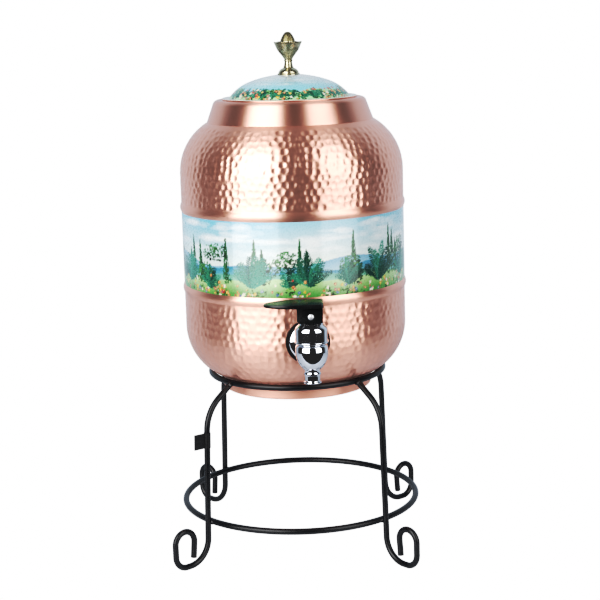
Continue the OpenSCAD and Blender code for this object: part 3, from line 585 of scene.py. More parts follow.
# %% Garden on the band
round_mm, tall_mm, upright = 2 * pi * body_r, band_high - band_low, pi / 2
rows, columns = int(tall_mm * grain_per_mm), int(round_mm * grain_per_mm)
height = (np.arange(rows) / grain_per_mm)[:, None, None]
across = (np.arange(columns) / columns * 2 * pi)[None, :, None]
sky = np.clip((height - 24) / (tall_mm - 24) + 0.10 * np.sin(across * 2 + 1) + 0.06 * np.sin(across * 5), 0, 1)
garden = tone(ink("#f3f6ee"), ink("#8cc7de"), sky)
for i in range(70):
    cx, cy = dice.uniform(0, round_mm), dice.uniform(40, 64)
    for k in range(7):
        dab(garden, cx + dice.normal(0, 9), cy + dice.normal(0, 1.6), dice.uniform(10, 24),
            dice.uniform(2.5, 5), 0, ink("#fbfdfc"), 0.22)
# Three ridges, far to near: height, swing, two wave counts, and the colours of crest and foot.
ridges = [(30, 5.0, 3, 7, "#86b3cf", "#b9d6df"), (25, 3.5, 5, 11, "#4f8fae", "#8fc0c8"),
          (20.5, 2.2, 4, 9, "#79b0a0", "#a5cfae")]
for base, swing, one, two, high_hue, low_hue in ridges:
    crest = base + swing * (np.sin(across * one + base) * 0.6 + np.sin(across * two + 2 * base) * 0.4)
    fade = np.clip((crest - height) / 12, 0, 1)
    garden = blend(garden, tone(ink(high_hue), ink(low_hue), fade),
                   np.clip((crest - height) * grain_per_mm, 0, 1))
shore = 15 + 1.5 * np.sin(across * 6 + 0.4) + 0.8 * np.sin(across * 13)
fade = np.clip(height / 15 + 0.15 * np.sin(across * 9), 0, 1)
garden = blend(garden, tone(ink("#5f9a55"), ink("#bfdba3"), fade),
               np.clip((shore - height) * grain_per_mm * 0.5, 0, 1))
for i in range(24):
    dab(garden, dice.uniform(0, round_mm), dice.uniform(15, 18.5), dice.uniform(14, 30),
        dice.uniform(1.2, 2.4), 0, ink("#a9dbe4"), 0.7)
for i in range(46):
    shrub(garden, dice.uniform(0, round_mm), dice.uniform(14, 18), dice.uniform(2.5, 4.5), upright, *teal)
for i in range(15):
    x = (i + dice.uniform(0.1, 0.7)) * round_mm / 15
    for k in range(int(dice.integers(1, 4))):
        cypress(garden, x + k * dice.uniform(6, 9), dice.uniform(9, 13), dice.uniform(26, 48),
                dice.uniform(6, 9), upright, leaf_dark, ink("#4f8f5c"))
for i in range(9):
    x = (i + dice.uniform(0.2, 0.6)) * round_mm / 9
    for k in range(5):
        shrub(garden, x + dice.normal(0, 8), dice.uniform(14, 40), dice.uniform(7, 11), upright,
              leaf_dark, leaf_light)
for i in range(20):
    fern(garden, (i + dice.uniform(0, 0.6)) * round_mm / 20, dice.uniform(4, 9), dice.uniform(20, 38),
         int(dice.integers(7, 11)), upright, *teal)
for i in range(60):
    shrub(garden, dice.uniform(0, round_mm), dice.uniform(0, 6), dice.uniform(2.5, 5), upright,
          leaf_dark, ink("#86b868"))
for i in range(330):
    blossom(garden, dice.uniform(0, round_mm), abs(dice.normal(0, 5)) + 0.8,
            petals[int(dice.integers(0, 6))], dice.uniform(1.1, 2.2))
print("garden", garden.shape, "mean", garden.mean((0, 1)).round(2))

# %% [markdown]
# ## Printed band
# The print is a thin film wrapped round the pot. Its mesh has a point about every 0.75 mm, finer than a
# pixel of the photograph, and each point takes the colour of the garden at its place.

# %% Printed band
varnish, tree, shader, where = finish_named("varnished_printed_film")
# Ink on film under a clear gloss varnish: even colour and sharp highlights. The film's tooth is about 1.5 mm
# wide, coarser than real, so that it shows in the highlights.
colour = put(tree, "ShaderNodeVertexColor", layer_name="print")
tooth = put(tree, "ShaderNodeTexNoise", {"Vector": where}, {"Scale": 650.0, "Detail": 2.0})
rough = put(tree, "ShaderNodeMapRange", {"Value": tooth.outputs["Fac"]}, {"To Min": 0.22, "To Max": 0.34})
join(tree, shader, {"Base Color": colour.outputs["Color"], "Roughness": rough.outputs["Result"]},
     {"Coat Weight": 0.6, "Coat Roughness": 0.06})
# Inks lie darker on film than the colours given above.
ink_strength = 0.74


def printed(piece, picture, x, y):
    """Stores the picture's colours at places x, y (millimetres) on the piece's points."""
    tall, broad = picture.shape[:2]
    row = np.clip(y * grain_per_mm, 0, tall - 1).astype(int)
    column = (x * grain_per_mm).astype(int) % broad
    colours = np.ones((len(row), 4), np.float32)
    colours[:, :3] = picture[row, column] * ink_strength
    layer = piece.data.color_attributes.new("print", "FLOAT_COLOR", "POINT")
    layer.data.foreach_set("color", colours.ravel())


outline = ([(body_r, band_low)] + line((body_r, band_low), (body_r, band_high), 90)
           + [(body_r - film, band_high), (body_r - film, band_low), (body_r, band_low)])
band = turned("print_band_film", outline, steps=880)
spot = points_of(band)
turn = np.arctan2(spot[:, 1], spot[:, 0])
printed(band, garden, (turn % (2 * pi)) * body_r, spot[:, 2] - band_low)
dress(band, varnish, "pot", "band_print", "print_band")

# %% [markdown]
# ## Garden on the lid
# The lid is a dome covered by the same kind of print. The picture is painted as if the dome were pressed
# flat: sky in the middle, and a wreath of shrubs and flowers round the rim that all grow towards the centre.

# %% Garden on the lid
half, rim_mm = 68, 61.6
grid = np.arange(int(2 * half * grain_per_mm)) / grain_per_mm - half
up, across = np.meshgrid(grid, grid, indexing="ij")
away, bow = np.hypot(up, across)[..., None], np.arctan2(up, across)[..., None]
sky = np.clip((away - 14) / 34 + 0.12 * np.sin(bow * 3), 0, 1)
disc = tone(ink("#eaf3f5"), ink("#98d3e2"), sky)


def on_disc(around, out):
    """A place on the flat picture, out from its middle."""
    return half + out * cos(around), half + out * sin(around)


for i in range(120):
    around, out = dice.uniform(0, 2 * pi), dice.uniform(12, 42)
    dab(disc, *on_disc(around, out), dice.uniform(8, 18), dice.uniform(2.5, 5), around + pi / 2,
        ink("#f7fbfb"), 0.25)
shore = 50 + 1.6 * np.sin(bow * 7) + 1.0 * np.sin(bow * 12 + 1)
disc = blend(disc, np.array(ink("#b4dcae")[:3]), np.clip((away - shore) * grain_per_mm * 0.5, 0, 1))
for i in range(170):
    around, out = dice.uniform(0, 2 * pi), dice.uniform(50, 61)
    shrub(disc, *on_disc(around, out), dice.uniform(2.0, 4.2), around + pi,
          *(teal if i % 2 else (leaf_dark, ink("#74b064"))))
for i in range(34):
    around = (i + dice.uniform(0, 0.7)) / 34 * 2 * pi
    fern(disc, *on_disc(around, 60), dice.uniform(9, 15), 6, around + pi, *teal)
for i in range(210):
    around, out = dice.uniform(0, 2 * pi), dice.uniform(49, 61.5)
    blossom(disc, *on_disc(around, out), petals[int(dice.integers(0, 5))], dice.uniform(1.2, 2.3))
disc = blend(disc, np.array(ink("#e9e2d6")[:3]), np.clip((away - rim_mm) * grain_per_mm, 0, 1))
print("lid picture", disc.shape, "mean", disc.mean((0, 1)).round(2))

# %% [markdown]
# ## Lid
# The lid is spun copper: a wide crown that runs into a tighter curve at the side, and a folded flange that
# rests on the lip. The film follows the same curves, so both are turned from one outline at two depths. Each
# point of the film takes the colour that lies as far from the picture's middle as the point is down the dome.

# %% Lid
crown_r, crown_turn, side_r, dome_r, lid_r = 109.0, 20.0, 42.0, 56.5, 63.0
flange_z, fold, knob_r, seat_r, screw_r = lip_z + 1.5, 0.3, 10.4, 10.0, 2.1
side_c = (crown_r - side_r) * sin(radians(crown_turn))
side_turn = degrees(asin((dome_r - side_c) / side_r))
side_cz = flange_z - side_r * cos(radians(side_turn))
crown_cz = side_cz - (crown_r - side_r) * cos(radians(crown_turn))
seat_turn = degrees(asin(knob_r / crown_r))
knob_z = crown_cz + (crown_r - film) * cos(radians(seat_turn))


def dome(depth, fine):
    """Points on the dome from the finial's seat to the flange, some way below the outer surface."""
    crown = arc(0, crown_cz, crown_r - depth, 90 - seat_turn, 90 - crown_turn, 20 * fine)
    return crown + arc(side_c, side_cz, side_r - depth, 90 - crown_turn, 90 - side_turn, 24 * fine)[1:]


outline = dome(0, 2) + line(dome(0, 2)[-1], (lid_r - fold, flange_z), 8) + [(lid_r, flange_z - fold / 2)]
under = [(lid_r, flange_z - film)] + dome(film, 1)[::-1]
lid_film = turned("lid_print_film", outline + under + outline[:1], steps=520, smooth=60)
spot = points_of(lid_film)
radius, turn = np.hypot(spot[:, 0], spot[:, 1]), np.arctan2(spot[:, 1], spot[:, 0])
lean = np.degrees(np.arctan2(radius, spot[:, 2] - crown_cz))
side_lean = np.degrees(np.arctan2(radius - side_c, spot[:, 2] - side_cz))
crown_run = np.radians(crown_turn) * crown_r
run = np.where(lean > crown_turn, crown_run + np.radians(side_lean - crown_turn) * side_r,
               np.radians(lean) * crown_r)
run = np.where(radius > dome_r, crown_run + np.radians(side_turn - crown_turn) * side_r + radius - dome_r, run)
run *= rim_mm / run[radius < dome_r].max()
printed(lid_film, disc, half + run * np.cos(turn), half + run * np.sin(turn))
dress(lid_film, varnish, "lid", "lid_print", "lid_print")

outline = ([(screw_r, knob_z), (seat_r, knob_z)] + dome(film, 1)
           + [(lid_r - fold, flange_z - film), (lid_r, flange_z - film - fold), (lid_r, lip_z + fold),
              (lid_r - fold, lip_z), (dome_r - wall, lip_z)]
           + dome(film + wall, 1)[::-1] + [(seat_r, knob_z - wall), (screw_r, knob_z - wall)])
lid = turned("lid_shell_spun", outline + outline[:1], steps=200)
dress(lid, buffed, "lid", "smooth_copper", "lid_shell")

# %% [markdown]
# ## Finial
# The finial is cast and turned brass, aged so that its hollows are brown: a stepped base, a thin waist, a cup
# of six petals and a bud. It is turned round first, and the petals are then pulled into the cup's rim.

# %% Finial
bud_low, bud_brown = 30.5, 32
brass, tree, shader, where = finish_named("aged_polished_brass")
# Polished brass with brown tarnish: warm, sharp highlights on the high parts and olive shade in the hollows.
tarnish = put(tree, "ShaderNodeTexNoise", {"Vector": where}, {"Scale": 220.0, "Detail": 4.0})
worn = put(tree, "ShaderNodeMapRange", {"Value": tarnish.outputs["Fac"]}, {"From Min": 0.35, "From Max": 0.7})
level = put(tree, "ShaderNodeSeparateXYZ", {"Vector": where})
# From the cup's rim up, the bud is mixed towards the darker brown tone and a rougher gloss.
dull_bud = put(tree, "ShaderNodeMapRange", {"Value": level.outputs["Z"]},
               {"From Min": (knob_z + bud_low) / 1000, "From Max": (knob_z + bud_brown) / 1000})
brown = put(tree, "ShaderNodeMath", {0: worn.outputs["Result"], 1: dull_bud.outputs["Result"]}, use_clamp=True)
hue = put(tree, "ShaderNodeMix", {"Factor": brown.outputs[0]}, {"A": ink("#c2bca4"), "B": ink("#7b755c")},
          data_type="RGBA")
gloss = put(tree, "ShaderNodeMapRange", {"Value": brown.outputs[0]}, {"To Min": 0.18, "To Max": 0.46})
join(tree, shader, {"Base Color": hue.outputs["Result"], "Roughness": gloss.outputs["Result"]},
     {"Metallic": 1.0})

base = [(screw_r, 0), (10.1, 0), (knob_r, 0.3), (knob_r, 0.9), (9.9, 1.3), (9.4, 1.5), (9.3, 2.3), (8.9, 3.3),
        (8.2, 4.3), (7.2, 5.2), (6.2, 5.8), (5.0, 6.2), (4.5, 7.0), (4.0, 8.4), (3.7, 9.8), (3.5, 11.2),
        (3.4, 12.4)]
cup = [(3.8, 12.8), (3.95, 13.3), (3.8, 13.8), (3.5, 14.2), (4.3, 15.6), (5.2, 17.0), (6.6, 18.8), (8.2, 20.8),
       (9.8, 23.0), (10.9, 25.2), (11.7, 27.2), (12.4, 28.8), (12.9, 29.8), (13.0, 30.4), (12.7, 30.8),
       (12.2, 30.7), (11.0, 29.8), (9.4, 29.2), (8.0, 29.0), (7.3, 29.1)]
bud = [(7.1, 30.0), (6.7, 31.6), (6.1, 33.2), (5.3, 35.0), (4.4, 36.6), (3.4, 38.0), (2.4, 39.0), (1.3, 39.4),
       (0, 39.5)]
bore = [(0, 8), (screw_r, 8), (screw_r, 0)]
knob = turned("finial_petalled", [(r, h + knob_z) for r, h in base + cup + bud + bore], steps=120, smooth=40)
spot = points_of(knob)
radius, turn = np.hypot(spot[:, 0], spot[:, 1]), np.arctan2(spot[:, 1], spot[:, 0])
rise, bud_r, bud_z, cup_z, cup_tall = spot[:, 2] - knob_z, 7.6, 29.3, 16, 14.6
petal_in, petal_drop, leaf_in = 0.03, 0.5, 0.05
on_bud = (rise > bud_z) & (radius < bud_r) & (radius > 0.5)
on_cup = np.clip((rise - cup_z) / cup_tall, 0, 1) * (radius > bud_r)
petal_gap, leaf_gap = 0.5 - 0.5 * np.cos(6 * turn), (0.5 - 0.5 * np.cos(8 * turn)) ** 2
spot[:, :2] *= (1 - petal_in * on_cup * petal_gap - leaf_in * on_bud * leaf_gap)[:, None]
spot[:, 2] -= petal_drop * on_cup ** 2 * petal_gap
move_points(knob, spot)
dress(knob, brass, "lid", "antique_brass", "finial")

# %% [markdown]
# ## Tap body
# The tap is a zinc casting with a mirror chrome plating. Its bulb and nozzle are round about an upright axis,
# its shank, flange and neck about a level one. Each is turned on its own, a Boolean joins them, and another
# cuts the water way. Blending them by hand would give a softer root, but the real one has a clear edge too.

# %% Tap body
def grained(name, light, dark, noise, rough, skin=None, **sockets):
    """A finish whose colour and gloss vary with a noise. skin is a bump: its noise, strength and depth."""
    material, tree, shader, where = finish_named(name)
    grain = put(tree, "ShaderNodeTexNoise", {"Vector": where}, {"Scale": noise[0], "Detail": noise[1]})
    hue = put(tree, "ShaderNodeMix", {"Factor": grain.outputs["Fac"]}, {"A": ink(light), "B": ink(dark)},
              data_type="RGBA")
    gloss = put(tree, "ShaderNodeMapRange", {"Value": grain.outputs["Fac"]},
                {"To Min": rough[0], "To Max": rough[1]})
    join(tree, shader, {"Base Color": hue.outputs["Result"], "Roughness": gloss.outputs["Result"]}, sockets)
    if skin:
        (scale, detail), strength, depth = skin
        peel = put(tree, "ShaderNodeTexNoise", {"Vector": where}, {"Scale": scale, "Detail": detail})
        bump = put(tree, "ShaderNodeBump", {"Height": peel.outputs["Fac"]},
                   {"Strength": strength, "Distance": depth})
        join(tree, shader, {"Normal": bump.outputs["Normal"]})
    return material


# Bright chrome: a mirror with black and white reflections, and a faint unevenness of the casting below.
casting = (120.0, 2.0)
chrome = grained("mirror_chrome_plating", "#dfe1e6", "#cfd2d8", casting, (0.03, 0.09),
                 (casting, 0.06, 0.0004), Metallic=1.0)


def combine(piece, other, how):
    """Applies a Boolean of two pieces and throws the second one away."""
    cut = piece.modifiers.new("combine", "BOOLEAN")
    cut.operation = how
    cut.object = other
    cut.solver = "EXACT"
    only(piece)
    bpy.ops.object.modifier_apply(modifier="combine")
    only(other)
    bpy.ops.object.delete()
    only(piece)


tap_y, tap_z, edge, way_r, mouth_z = -137.0, 215.04, 0.6, 3.5, -30.3
bulb_r, bulb_mid, bulb_half, bulb_low, bulb_top = 14.6, -1.5, 19.0, -18.0, 6.0
brow_r, brow_c, brow_z = 3.5, 10.835, 1.84
spigot_top, spigot_in, seat_z, valve_r = bulb_top + 9, 10, -10, 5
nozzle = [(8.0, -29.2), (7.85, -28.8), (7.4, -28.4), (7.0, -28.1), (6.9, -27.8), (6.9, -27.5), (6.9, -23.5),
          (6.9, -23.2), (7.0, -22.9), (7.5, -22.5), (7.6, -22.1), (7.6, -20.8), (7.4, -20.3), (7.05, -19.8),
          (7.05, -18.8)]
outline = [(way_r, mouth_z), (7.4, mouth_z)] + arc(7.4, mouth_z + edge, edge, -90, 0, 4) + nozzle
outline += [(bulb_r * sqrt(1 - ((z - bulb_mid) / bulb_half) ** 2), z)
            for z in np.linspace(bulb_low, 2.4, 34)]
outline += arc(brow_c, brow_z, brow_r, 12, 62, 12) + [(12.25, 5.0), (12.2, 5.2), (12.2, spigot_top)]
outline += [(spigot_in, spigot_top), (spigot_in, seat_z), (valve_r, seat_z), (valve_r, seat_z + 1),
            (way_r, seat_z + 1), (way_r, mouth_z)]
tap = turned("tap_body_cast", outline, steps=96, centre=(0, tap_y, tap_z))
washer_y, flange_r, flange_in, neck_end, shank_r = -107.5, 17.2, 6.6, 5.3, 8
shank_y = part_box("back_nut")[1].y * 1000 + 5
outline = [(0, tap_y), (5.5, tap_y), (5.5, washer_y - neck_end)]
outline += arc(6.4, washer_y - neck_end, 0.9, 180, 90, 4)
outline += [(flange_in + (flange_r - flange_in) * sin(t), washer_y - 0.8 - 3.6 * cos(t))
            for t in np.radians(range(6, 91, 6))]
outline += [(flange_r, washer_y), (shank_r, washer_y), (shank_r, shank_y - edge), (7.4, shank_y), (0, shank_y)]
shank = turned("tap_shank", outline, steps=96, centre=(0, 0, tap_z), along="Y")
combine(tap, shank, "UNION")
outline = [(0, tap_y), (way_r, tap_y), (way_r, shank_y + 1), (0, shank_y + 1)]
water_way = turned("water_way", outline, steps=48, centre=(0, 0, tap_z), along="Y")
combine(tap, water_way, "DIFFERENCE")
clean(tap, 28)
dress(tap, chrome, "pot", "chrome", "tap_body")

# %% [markdown]
# ## Bonnet
# The bonnet is the collar that screws down on the bulb and guides the stem: a bead at its lower edge, a
# straight side and a chamfered shoulder, with the same plating.

# %% Bonnet
bonnet_z, bonnet_r, collar_r, round_r, round_z = tap_z + bulb_top, 15.1, 14.4, 5.0, 11.0
bonnet_h, socket_r, guide_r, lip_in = 18.3, 12.3, 4.05, 10.85
outline = [(socket_r, 0)] + arc(bonnet_r - edge, edge, edge, -90, 0, 5)
outline += arc(bonnet_r - edge, 1.3, edge, 0, 90, 6)
outline += [(collar_r, 2.0), (collar_r, 2.15), (collar_r, 2.4), (collar_r, 10.4)]
outline += arc(collar_r - round_r, round_z, round_r, 0, 46, 10)
outline += [(lip_in, 16.55), (lip_in, 17.9), (lip_in - 0.4, bonnet_h), (guide_r, bonnet_h), (guide_r, 12.8),
            (10, 12.8), (10, 9), (socket_r, 9)]
outline = [(r, h + bonnet_z) for r, h in outline + outline[:1]]
bonnet = turned("bonnet_collar", outline, steps=96, centre=(0, tap_y, 0))
dress(bonnet, chrome, "pot", "chrome", "bonnet")

# %% [markdown]
# ## Lever
# The lever is a moulded black plastic block on a pin, with a long paddle on top. Its side view is drawn as a
# flat outline and pulled to a slab, the paddle is trimmed to its rounded plan, and a Bevel modifier breaks
# every sharp edge as a mould does. The slot for the stem and the hole for the pin are cut out of it.

# %% Lever
# Glossy black ABS: deep black, a clear highlight, and slight flow marks from the mould.
plastic = grained("moulded_black_abs", "#0b0c0d", "#17191a", (90.0, 3.0), (0.20, 0.32), IOR=1.54)


def slab(name, outline, low, high, along="Y"):
    """Pulls a flat outline, in millimetres, into a slab between two levels."""
    spots = [Vector((a, low, b)) if along == "Y" else Vector((a, b, low)) for a, b in outline]
    pull = Vector((0, high - low, 0)) if along == "Y" else Vector((0, 0, high - low))
    piece = walked(name, spots[0] / 1000, [(b - a) / 1000 for a, b in zip(spots, spots[1:])])
    bpy.ops.mesh.select_all(action="SELECT")
    bpy.ops.mesh.edge_face_add()
    bpy.ops.mesh.extrude_region_move(TRANSFORM_OT_translate={"value": pull / 1000})
    bpy.ops.mesh.select_all(action="SELECT")
    bpy.ops.mesh.normals_make_consistent(inside=False)
    bpy.ops.object.mode_set(mode="OBJECT")
    return piece


pin_z, pin_r = bonnet_z + bonnet_h + 6, 1.5
cam_x, cam_r, block_low, block_back, block_w, block_round = 9.0, 3.1, 5.85, 10.4, 18.0, 2
paddle_low, paddle_t, tip_t, tip_drop = 8.2, 3.6, 2.0, 1.2
paddle_len, paddle_w, tip_share = 41.0, 27.0, 0.85
back, corner, front_x = block_back + 0.9, paddle_t / 2, -cam_x - cam_r
outline = (arc(-cam_x, cam_r - block_low, cam_r, 180, 270, 10)
           + arc(block_back - block_round, block_round - block_low, block_round, 270, 360, 8)
           + [(block_back, paddle_low + 1), (front_x, paddle_low + 1)])
lever = slab("lever_moulded", [(x, z + pin_z) for x, z in outline], tap_y - block_w / 2, tap_y + block_w / 2)
top = paddle_low + paddle_t
tip_x, tip_z = tip_t / 2 - paddle_len, top - tip_drop - tip_t / 2
outline = (arc(back - corner, top - corner, corner, 0, 90, 8)
           + [((back - corner) * (1 - t) + tip_x * t, top - tip_drop * t * t)
              for t in np.linspace(0.05, 0.95, 14)]
           + arc(tip_x, tip_z, tip_t / 2, 90, 270, 8) + [(front_x, paddle_low), (back, paddle_low)])
paddle = slab("paddle", [(x, z + pin_z) for x, z in outline], tap_y - paddle_w, tap_y + paddle_w)
plan = [(paddle_w * tip_share * (1 + cos(t)) - paddle_len, paddle_w / 2 * sin(t))
        for t in np.radians(np.linspace(90, 270, 37))]
plan += arc(back - 2, 2 - paddle_w / 2, 2, 270, 360, 6) + arc(back - 2, paddle_w / 2 - 2, 2, 0, 90, 6)
trim = slab("paddle_plan", [(x, y + tap_y) for x, y in plan], pin_z, pin_z + top + 1, "Z")
combine(paddle, trim, "INTERSECT")
combine(lever, paddle, "UNION")
soft = lever.modifiers.new("mould_edge", "BEVEL")
soft.width = 0.0006
soft.segments = 3
soft.limit_method = "ANGLE"
soft.angle_limit = radians(40)
bpy.ops.object.modifier_apply(modifier="mould_edge")
# The slot leaves room for the stem at the lever's full stroke.
slot_y, slot_r, slot_low, slot_roof = 2.8, 3.5, pin_z - 12, pin_z + 0.3
outline = ([(-cam_x, slot_low), (-cam_x, slot_roof)]
           + [(x, z + pin_z) for x, z in arc(0, 0, slot_r, 175, 0, 24)] + [(slot_r, slot_low)])
slot = slab("stem_slot", outline, tap_y - slot_y, tap_y + slot_y)
combine(lever, slot, "DIFFERENCE")
outline = [(0, -12), (pin_r, -12), (pin_r, 12), (0, 12)]
hole = turned("pin_hole", outline, steps=32, centre=(0, tap_y, pin_z), along="Y")
combine(lever, hole, "DIFFERENCE")
clean(lever, 35)
lever_turn = radians(-6)


def swung(piece):
    """Turns a piece about the tap's upright axis to where the lever points at rest."""
    axis = Vector((0, tap_y / 1000, 0))
    only(piece)
    piece.rotation_euler[2] = lever_turn
    piece.location = axis - Matrix.Rotation(lever_turn, 3, "Z") @ axis
    bpy.ops.object.transform_apply(location=True, rotation=True, scale=False)


swung(lever)
dress(lever, plastic, "lever", "black_plastic", "lever")

# %% [markdown]
# ## Lever pin
# The pin's domed head is the bright dot on the front of the lever. It is a turned steel rivet.

# %% Lever pin
# Turned steel: grey metal with fine tool marks that spread its highlights.
steel = grained("turned_bright_steel", "#f1f2f4", "#d3d6da", (900.0, 2.0), (0.42, 0.56), Metallic=1.0)
front, rear = -block_w / 2, block_w / 2
dome_head = [(0, 1.0), (0.7, 0.97), (1.4, 0.85), (2.0, 0.62), (2.4, 0.35), (2.7, 0)]
outline = [(r, front - h) for r, h in dome_head]
outline += [(pin_r, front), (pin_r, rear - 0.3), (pin_r - 0.3, rear), (0, rear)]
rivet = turned("lever_pin_rivet", outline, steps=48, centre=(0, tap_y, pin_z), along="Y")
swung(rivet)
dress(rivet, steel, "lever", "steel", "lever_pin")

# %% [markdown]
# ## Stand rings
# The stand is bent from round steel bar, welded and painted satin black. A ring is the bar's round section
# turned about the pot's axis. Where the bar's two ends were welded together the ring is a little thicker.

# %% Stand rings
# Satin paint on steel: black with a bluish soft highlight, and the fine orange peel of a sprayed coat.
paint = grained("satin_black_paint", "#08090c", "#12141a", (60.0, 3.0), (0.24, 0.34),
                ((700.0, 2.0), 0.08, 0.0003), IOR=1.5)
ring_r, ring_z, ring_bar, base_r, base_z = 82.5, 167.0, 5.6, 112.5, 39.5
seam_rise, seam_half = 0.45, 2.2


def ring(name, radius, height, seam, node):
    """A hoop of bar with its welded seam at an angle in degrees."""
    hoop = turned(name, arc(radius, height, ring_bar / 2, 0, 360, 20), steps=240)
    spot = points_of(hoop)
    turn, out = np.arctan2(spot[:, 1], spot[:, 0]), np.hypot(spot[:, 0], spot[:, 1]) - radius
    near = (np.exp(-((turn - radians(seam)) * radius / seam_half) ** 2)
            * np.clip(out / ring_bar * 2, 0, 1))
    spot[:, :2] *= (1 + seam_rise * near / radius)[:, None]
    move_points(hoop, spot)
    dress(hoop, paint, "stand", "black_paint", node)


ring("top_ring_bar", ring_r, ring_z, 100, "top_ring")
ring("bottom_ring_bar", base_r, base_z, 70, "bottom_ring")

# %% [markdown]
# ## Legs
# A leg is one bar with four bends: out and down from the upper ring, and round into the scroll it stands on.
# It is made as a smith would: a round section is extruded along each straight and spun round each bend. One
# leg is modelled and copied to its four places. The file-flat under the scroll is cut with a bisect.

# %% Legs
leg_bar, drop, splay, bend_r, filed, coped = 5.4, 36.0, 2.0, 36.0, 0.3, 0.8
scroll = {"in": 22.0, "run": 4.0, "out": 12.5, "rise": 11.0, "top": 10.9, "lean": 5.0, "tail": 15.0}
at_ring = base_r + (ring_bar + leg_bar) / 2 - coped
d, s = radians(drop), radians(splay)
bend_out, bend_down = bend_r * (cos(s) - sin(d)), bend_r * (cos(d) - sin(s))
run_1 = ((at_ring - ring_r - bend_out - tan(s) * (ring_z - bend_down - base_z))
         / (cos(d) - tan(s) * sin(d)))
bend_z = ring_z - run_1 * sin(d) - bend_down
run_2 = (bend_z - scroll["in"] * (1 - sin(s)) - (leg_bar / 2 - filed)) / cos(s)
# Each step is a straight run, or a bend with its radius and its angle.
route = [("run", run_1), ("bend", bend_r, -(90 - splay - drop)), ("run", run_2),
         ("bend", scroll["in"], 90 - splay), ("run", scroll["run"]), ("bend", scroll["out"], 90),
         ("run", scroll["rise"]), ("bend", scroll["top"], 180 + scroll["lean"]), ("run", scroll["tail"])]


def heading_of(slope):
    """The way ahead on the leg's upright plane."""
    return Vector((cos(radians(slope)), 0, sin(radians(slope))))


bpy.ops.object.select_all(action="DESELECT")
bpy.ops.mesh.primitive_circle_add(vertices=20, radius=leg_bar / 2000,
                                  location=(ring_r / 1000, 0, ring_z / 1000),
                                  rotation=(0, radians(90 + drop), 0))
leg = bpy.context.object
leg.name = leg.data.name = "front_left_leg_bar"
bpy.ops.object.transform_apply(location=True, rotation=True, scale=True)
bpy.ops.object.mode_set(mode="EDIT")
bpy.ops.mesh.select_all(action="SELECT")
head, slope = Vector((ring_r, 0, ring_z)), -drop
for step in route:
    ahead = heading_of(slope)
    if step[0] == "run":
        bpy.ops.mesh.extrude_region_move(TRANSFORM_OT_translate={"value": ahead * step[1] / 1000})
        head = head + ahead * step[1]
    else:
        kind, bend, angle = step
        sign = 1 if angle > 0 else -1
        hub = head + Vector((-ahead.z, 0, ahead.x)) * bend * sign
        bpy.ops.mesh.spin(steps=max(6, int(abs(angle) / 5)), angle=radians(abs(angle)), center=hub / 1000,
                          axis=(0, sign, 0))
        slope += angle
        ahead = heading_of(slope)
        head = hub - Vector((-ahead.z, 0, ahead.x)) * bend * sign
bpy.ops.mesh.select_all(action="SELECT")
bpy.ops.mesh.remove_doubles(threshold=2e-6)
bpy.ops.mesh.fill_holes(sides=0)
bpy.ops.mesh.select_all(action="SELECT")
bpy.ops.mesh.bisect(plane_co=(0, 0, 0), plane_no=(0, 0, 1), use_fill=True, clear_inner=True, threshold=1e-7)
bpy.ops.object.mode_set(mode="OBJECT")
clean(leg, 40)
places = {"front_left": 225, "front_right": 315, "back_left": 135, "back_right": 45}
stand_turn = -8.7
legs = {}
for side in ("front_right", "back_left", "back_right"):
    only(leg)
    bpy.ops.object.duplicate()
    copy = bpy.context.object
    copy.name = copy.data.name = side + "_leg_bar"
    legs[side] = copy
legs["front_left"] = leg
for side, bar in legs.items():
    only(bar)
    bar.rotation_euler[2] = radians(places[side] + stand_turn)
    bpy.ops.object.transform_apply(location=False, rotation=True, scale=False)
    dress(bar, paint, "stand", "black_paint", side + "_leg")
    low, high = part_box(side + "_leg")
    mine = points_of(bar) / 1000
    past = list(mine.min(0) - low) + list(mine.max(0) - high)
    print(side, "off the solid by", [round(float(v) * 1000, 2) for v in past])

# %% [markdown]
# ## Weld beads
# Short welds hold the legs to the rings. On the real stand they are small lumps under the paint. One lump is
# modelled from a ball, made uneven, and copied to every joint. Sculpting each would be lost under the paint.

# %% Weld beads
bpy.ops.object.select_all(action="DESELECT")
bpy.ops.mesh.primitive_ico_sphere_add(subdivisions=3, radius=0.001)
first_lump = bpy.context.object
spot = points_of(first_lump)
ripple = 1 + 0.10 * np.sin(5 * spot[:, 1] + 1) + 0.06 * np.sin(7 * spot[:, 2] + 2)
move_points(first_lump, spot * ripple[:, None])


def weld_at(turn, radius, height, along, out, up):
    """A copy of the weld lump, with its half sizes along the ring, outwards and upwards, in millimetres."""
    only(first_lump)
    bpy.ops.object.duplicate()
    lump = bpy.context.object
    lump.scale = (out, along, up)
    lump.rotation_euler[2] = turn
    lump.location = (radius * cos(turn) / 1000, radius * sin(turn) / 1000, height / 1000)
    bpy.ops.object.transform_apply(location=True, rotation=True, scale=True)
    return lump


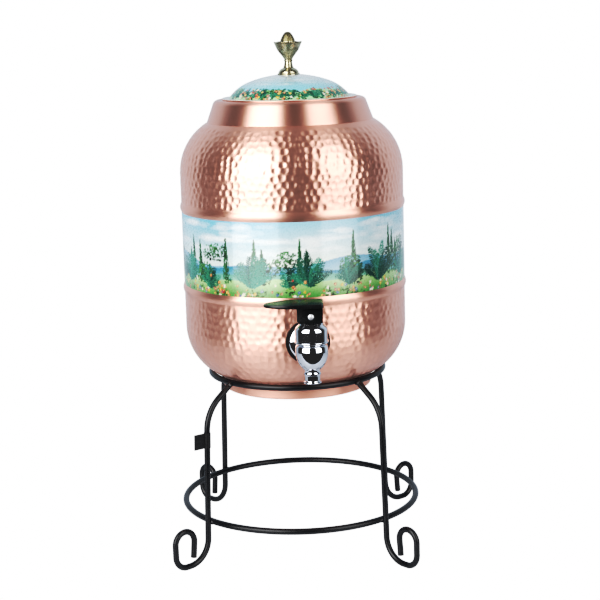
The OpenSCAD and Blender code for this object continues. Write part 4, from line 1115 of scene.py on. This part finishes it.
top_weld, top_weld_out, top_weld_down = (4.6, 2.4, 2.4), 3.0, 1.9
base_weld, base_weld_out, base_weld_apart = (2.6, 1.5, 2.0), 2.6, 2.9
lumps = []
for turn in places.values():
    at = radians(turn + stand_turn)
    lumps.append(weld_at(at, ring_r + top_weld_out, ring_z - top_weld_down, *top_weld))
    for side in (-1, 1):
        beside = at + side * base_weld_apart / base_r
        lumps.append(weld_at(beside, base_r + base_weld_out, base_z, *base_weld))
only(first_lump)
bpy.ops.object.delete()
for lump in lumps:
    lump.select_set(True)
bpy.context.view_layer.objects.active = lumps[0]
bpy.ops.object.join()
welds = bpy.context.object
welds.name = welds.data.name = "weld_beads"
bpy.ops.object.shade_smooth()
dress(welds, paint, "stand", "black_paint")

# %% [markdown]
# ## Small parts
# The solids that are left are small or hidden, and their shapes are right as they are: washers, nut, valve
# and screw. They only get their finishes: rubber, steel, silicone and tape.

# %% Small parts
def speckled(name, light, dark, size_mm, rough, metal, bumpy):
    """A plain finish with fine speckle, size_mm wide: cast rubber, tape or zinc plating."""
    speck = (1000 / size_mm, 3.0)
    return grained(name, light, dark, speck, (rough * 0.8, min(1.0, rough * 1.25)), (speck, bumpy, 0.0002),
                   Metallic=metal)


# Dull black with a soft grey light, as on a moulded washer.
rubber = speckled("moulded_black_rubber", "#0d0d0e", "#060607", size_mm=1.5, rough=0.45, metal=0.0, bumpy=0.2)
# Vinyl tape: black, with the small creases of its backing.
tape = speckled("black_vinyl_tape", "#17171a", "#08080a", size_mm=1.2, rough=0.42, metal=0.0, bumpy=0.4)
# Zinc: a pale grey metal with a spangle.
zinc = speckled("zinc_plated_steel", "#c3c6c4", "#9a9fa3", size_mm=2.0, rough=0.35, metal=1.0, bumpy=0.1)
# Silicone: milky and slightly glossy.
silicone = speckled("cast_white_silicone", "#eceae2", "#d8d5ca", size_mm=2.5, rough=0.5, metal=0.0, bumpy=0.1)
# Drawn wire: grey metal, brighter than the zinc.
wire = speckled("drawn_spring_steel", "#b4b7bb", "#8b8f95", size_mm=0.8, rough=0.3, metal=1.0, bumpy=0.1)
finishes = {"outer_washer": rubber, "inner_washer": rubber, "back_nut": zinc, "seat_cup": silicone,
            "valve_spring": wire, "stem": steel, "leg_tag": tape, "middle_shell": buffed, "lid_skirt": buffed,
            "finial_screw": zinc, "finial_washer": zinc}
for node, material in finishes.items():
    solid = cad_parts[node]
    solid.data.materials.clear()
    solid.data.materials.append(material)
print("finishes on", len(finishes), "solids")

# %% [markdown]
# ## Size and finish
# The box round all pieces is measured, because a dressed part must
# still fit where the plain one fits.

# %% Size and finish
low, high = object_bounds()
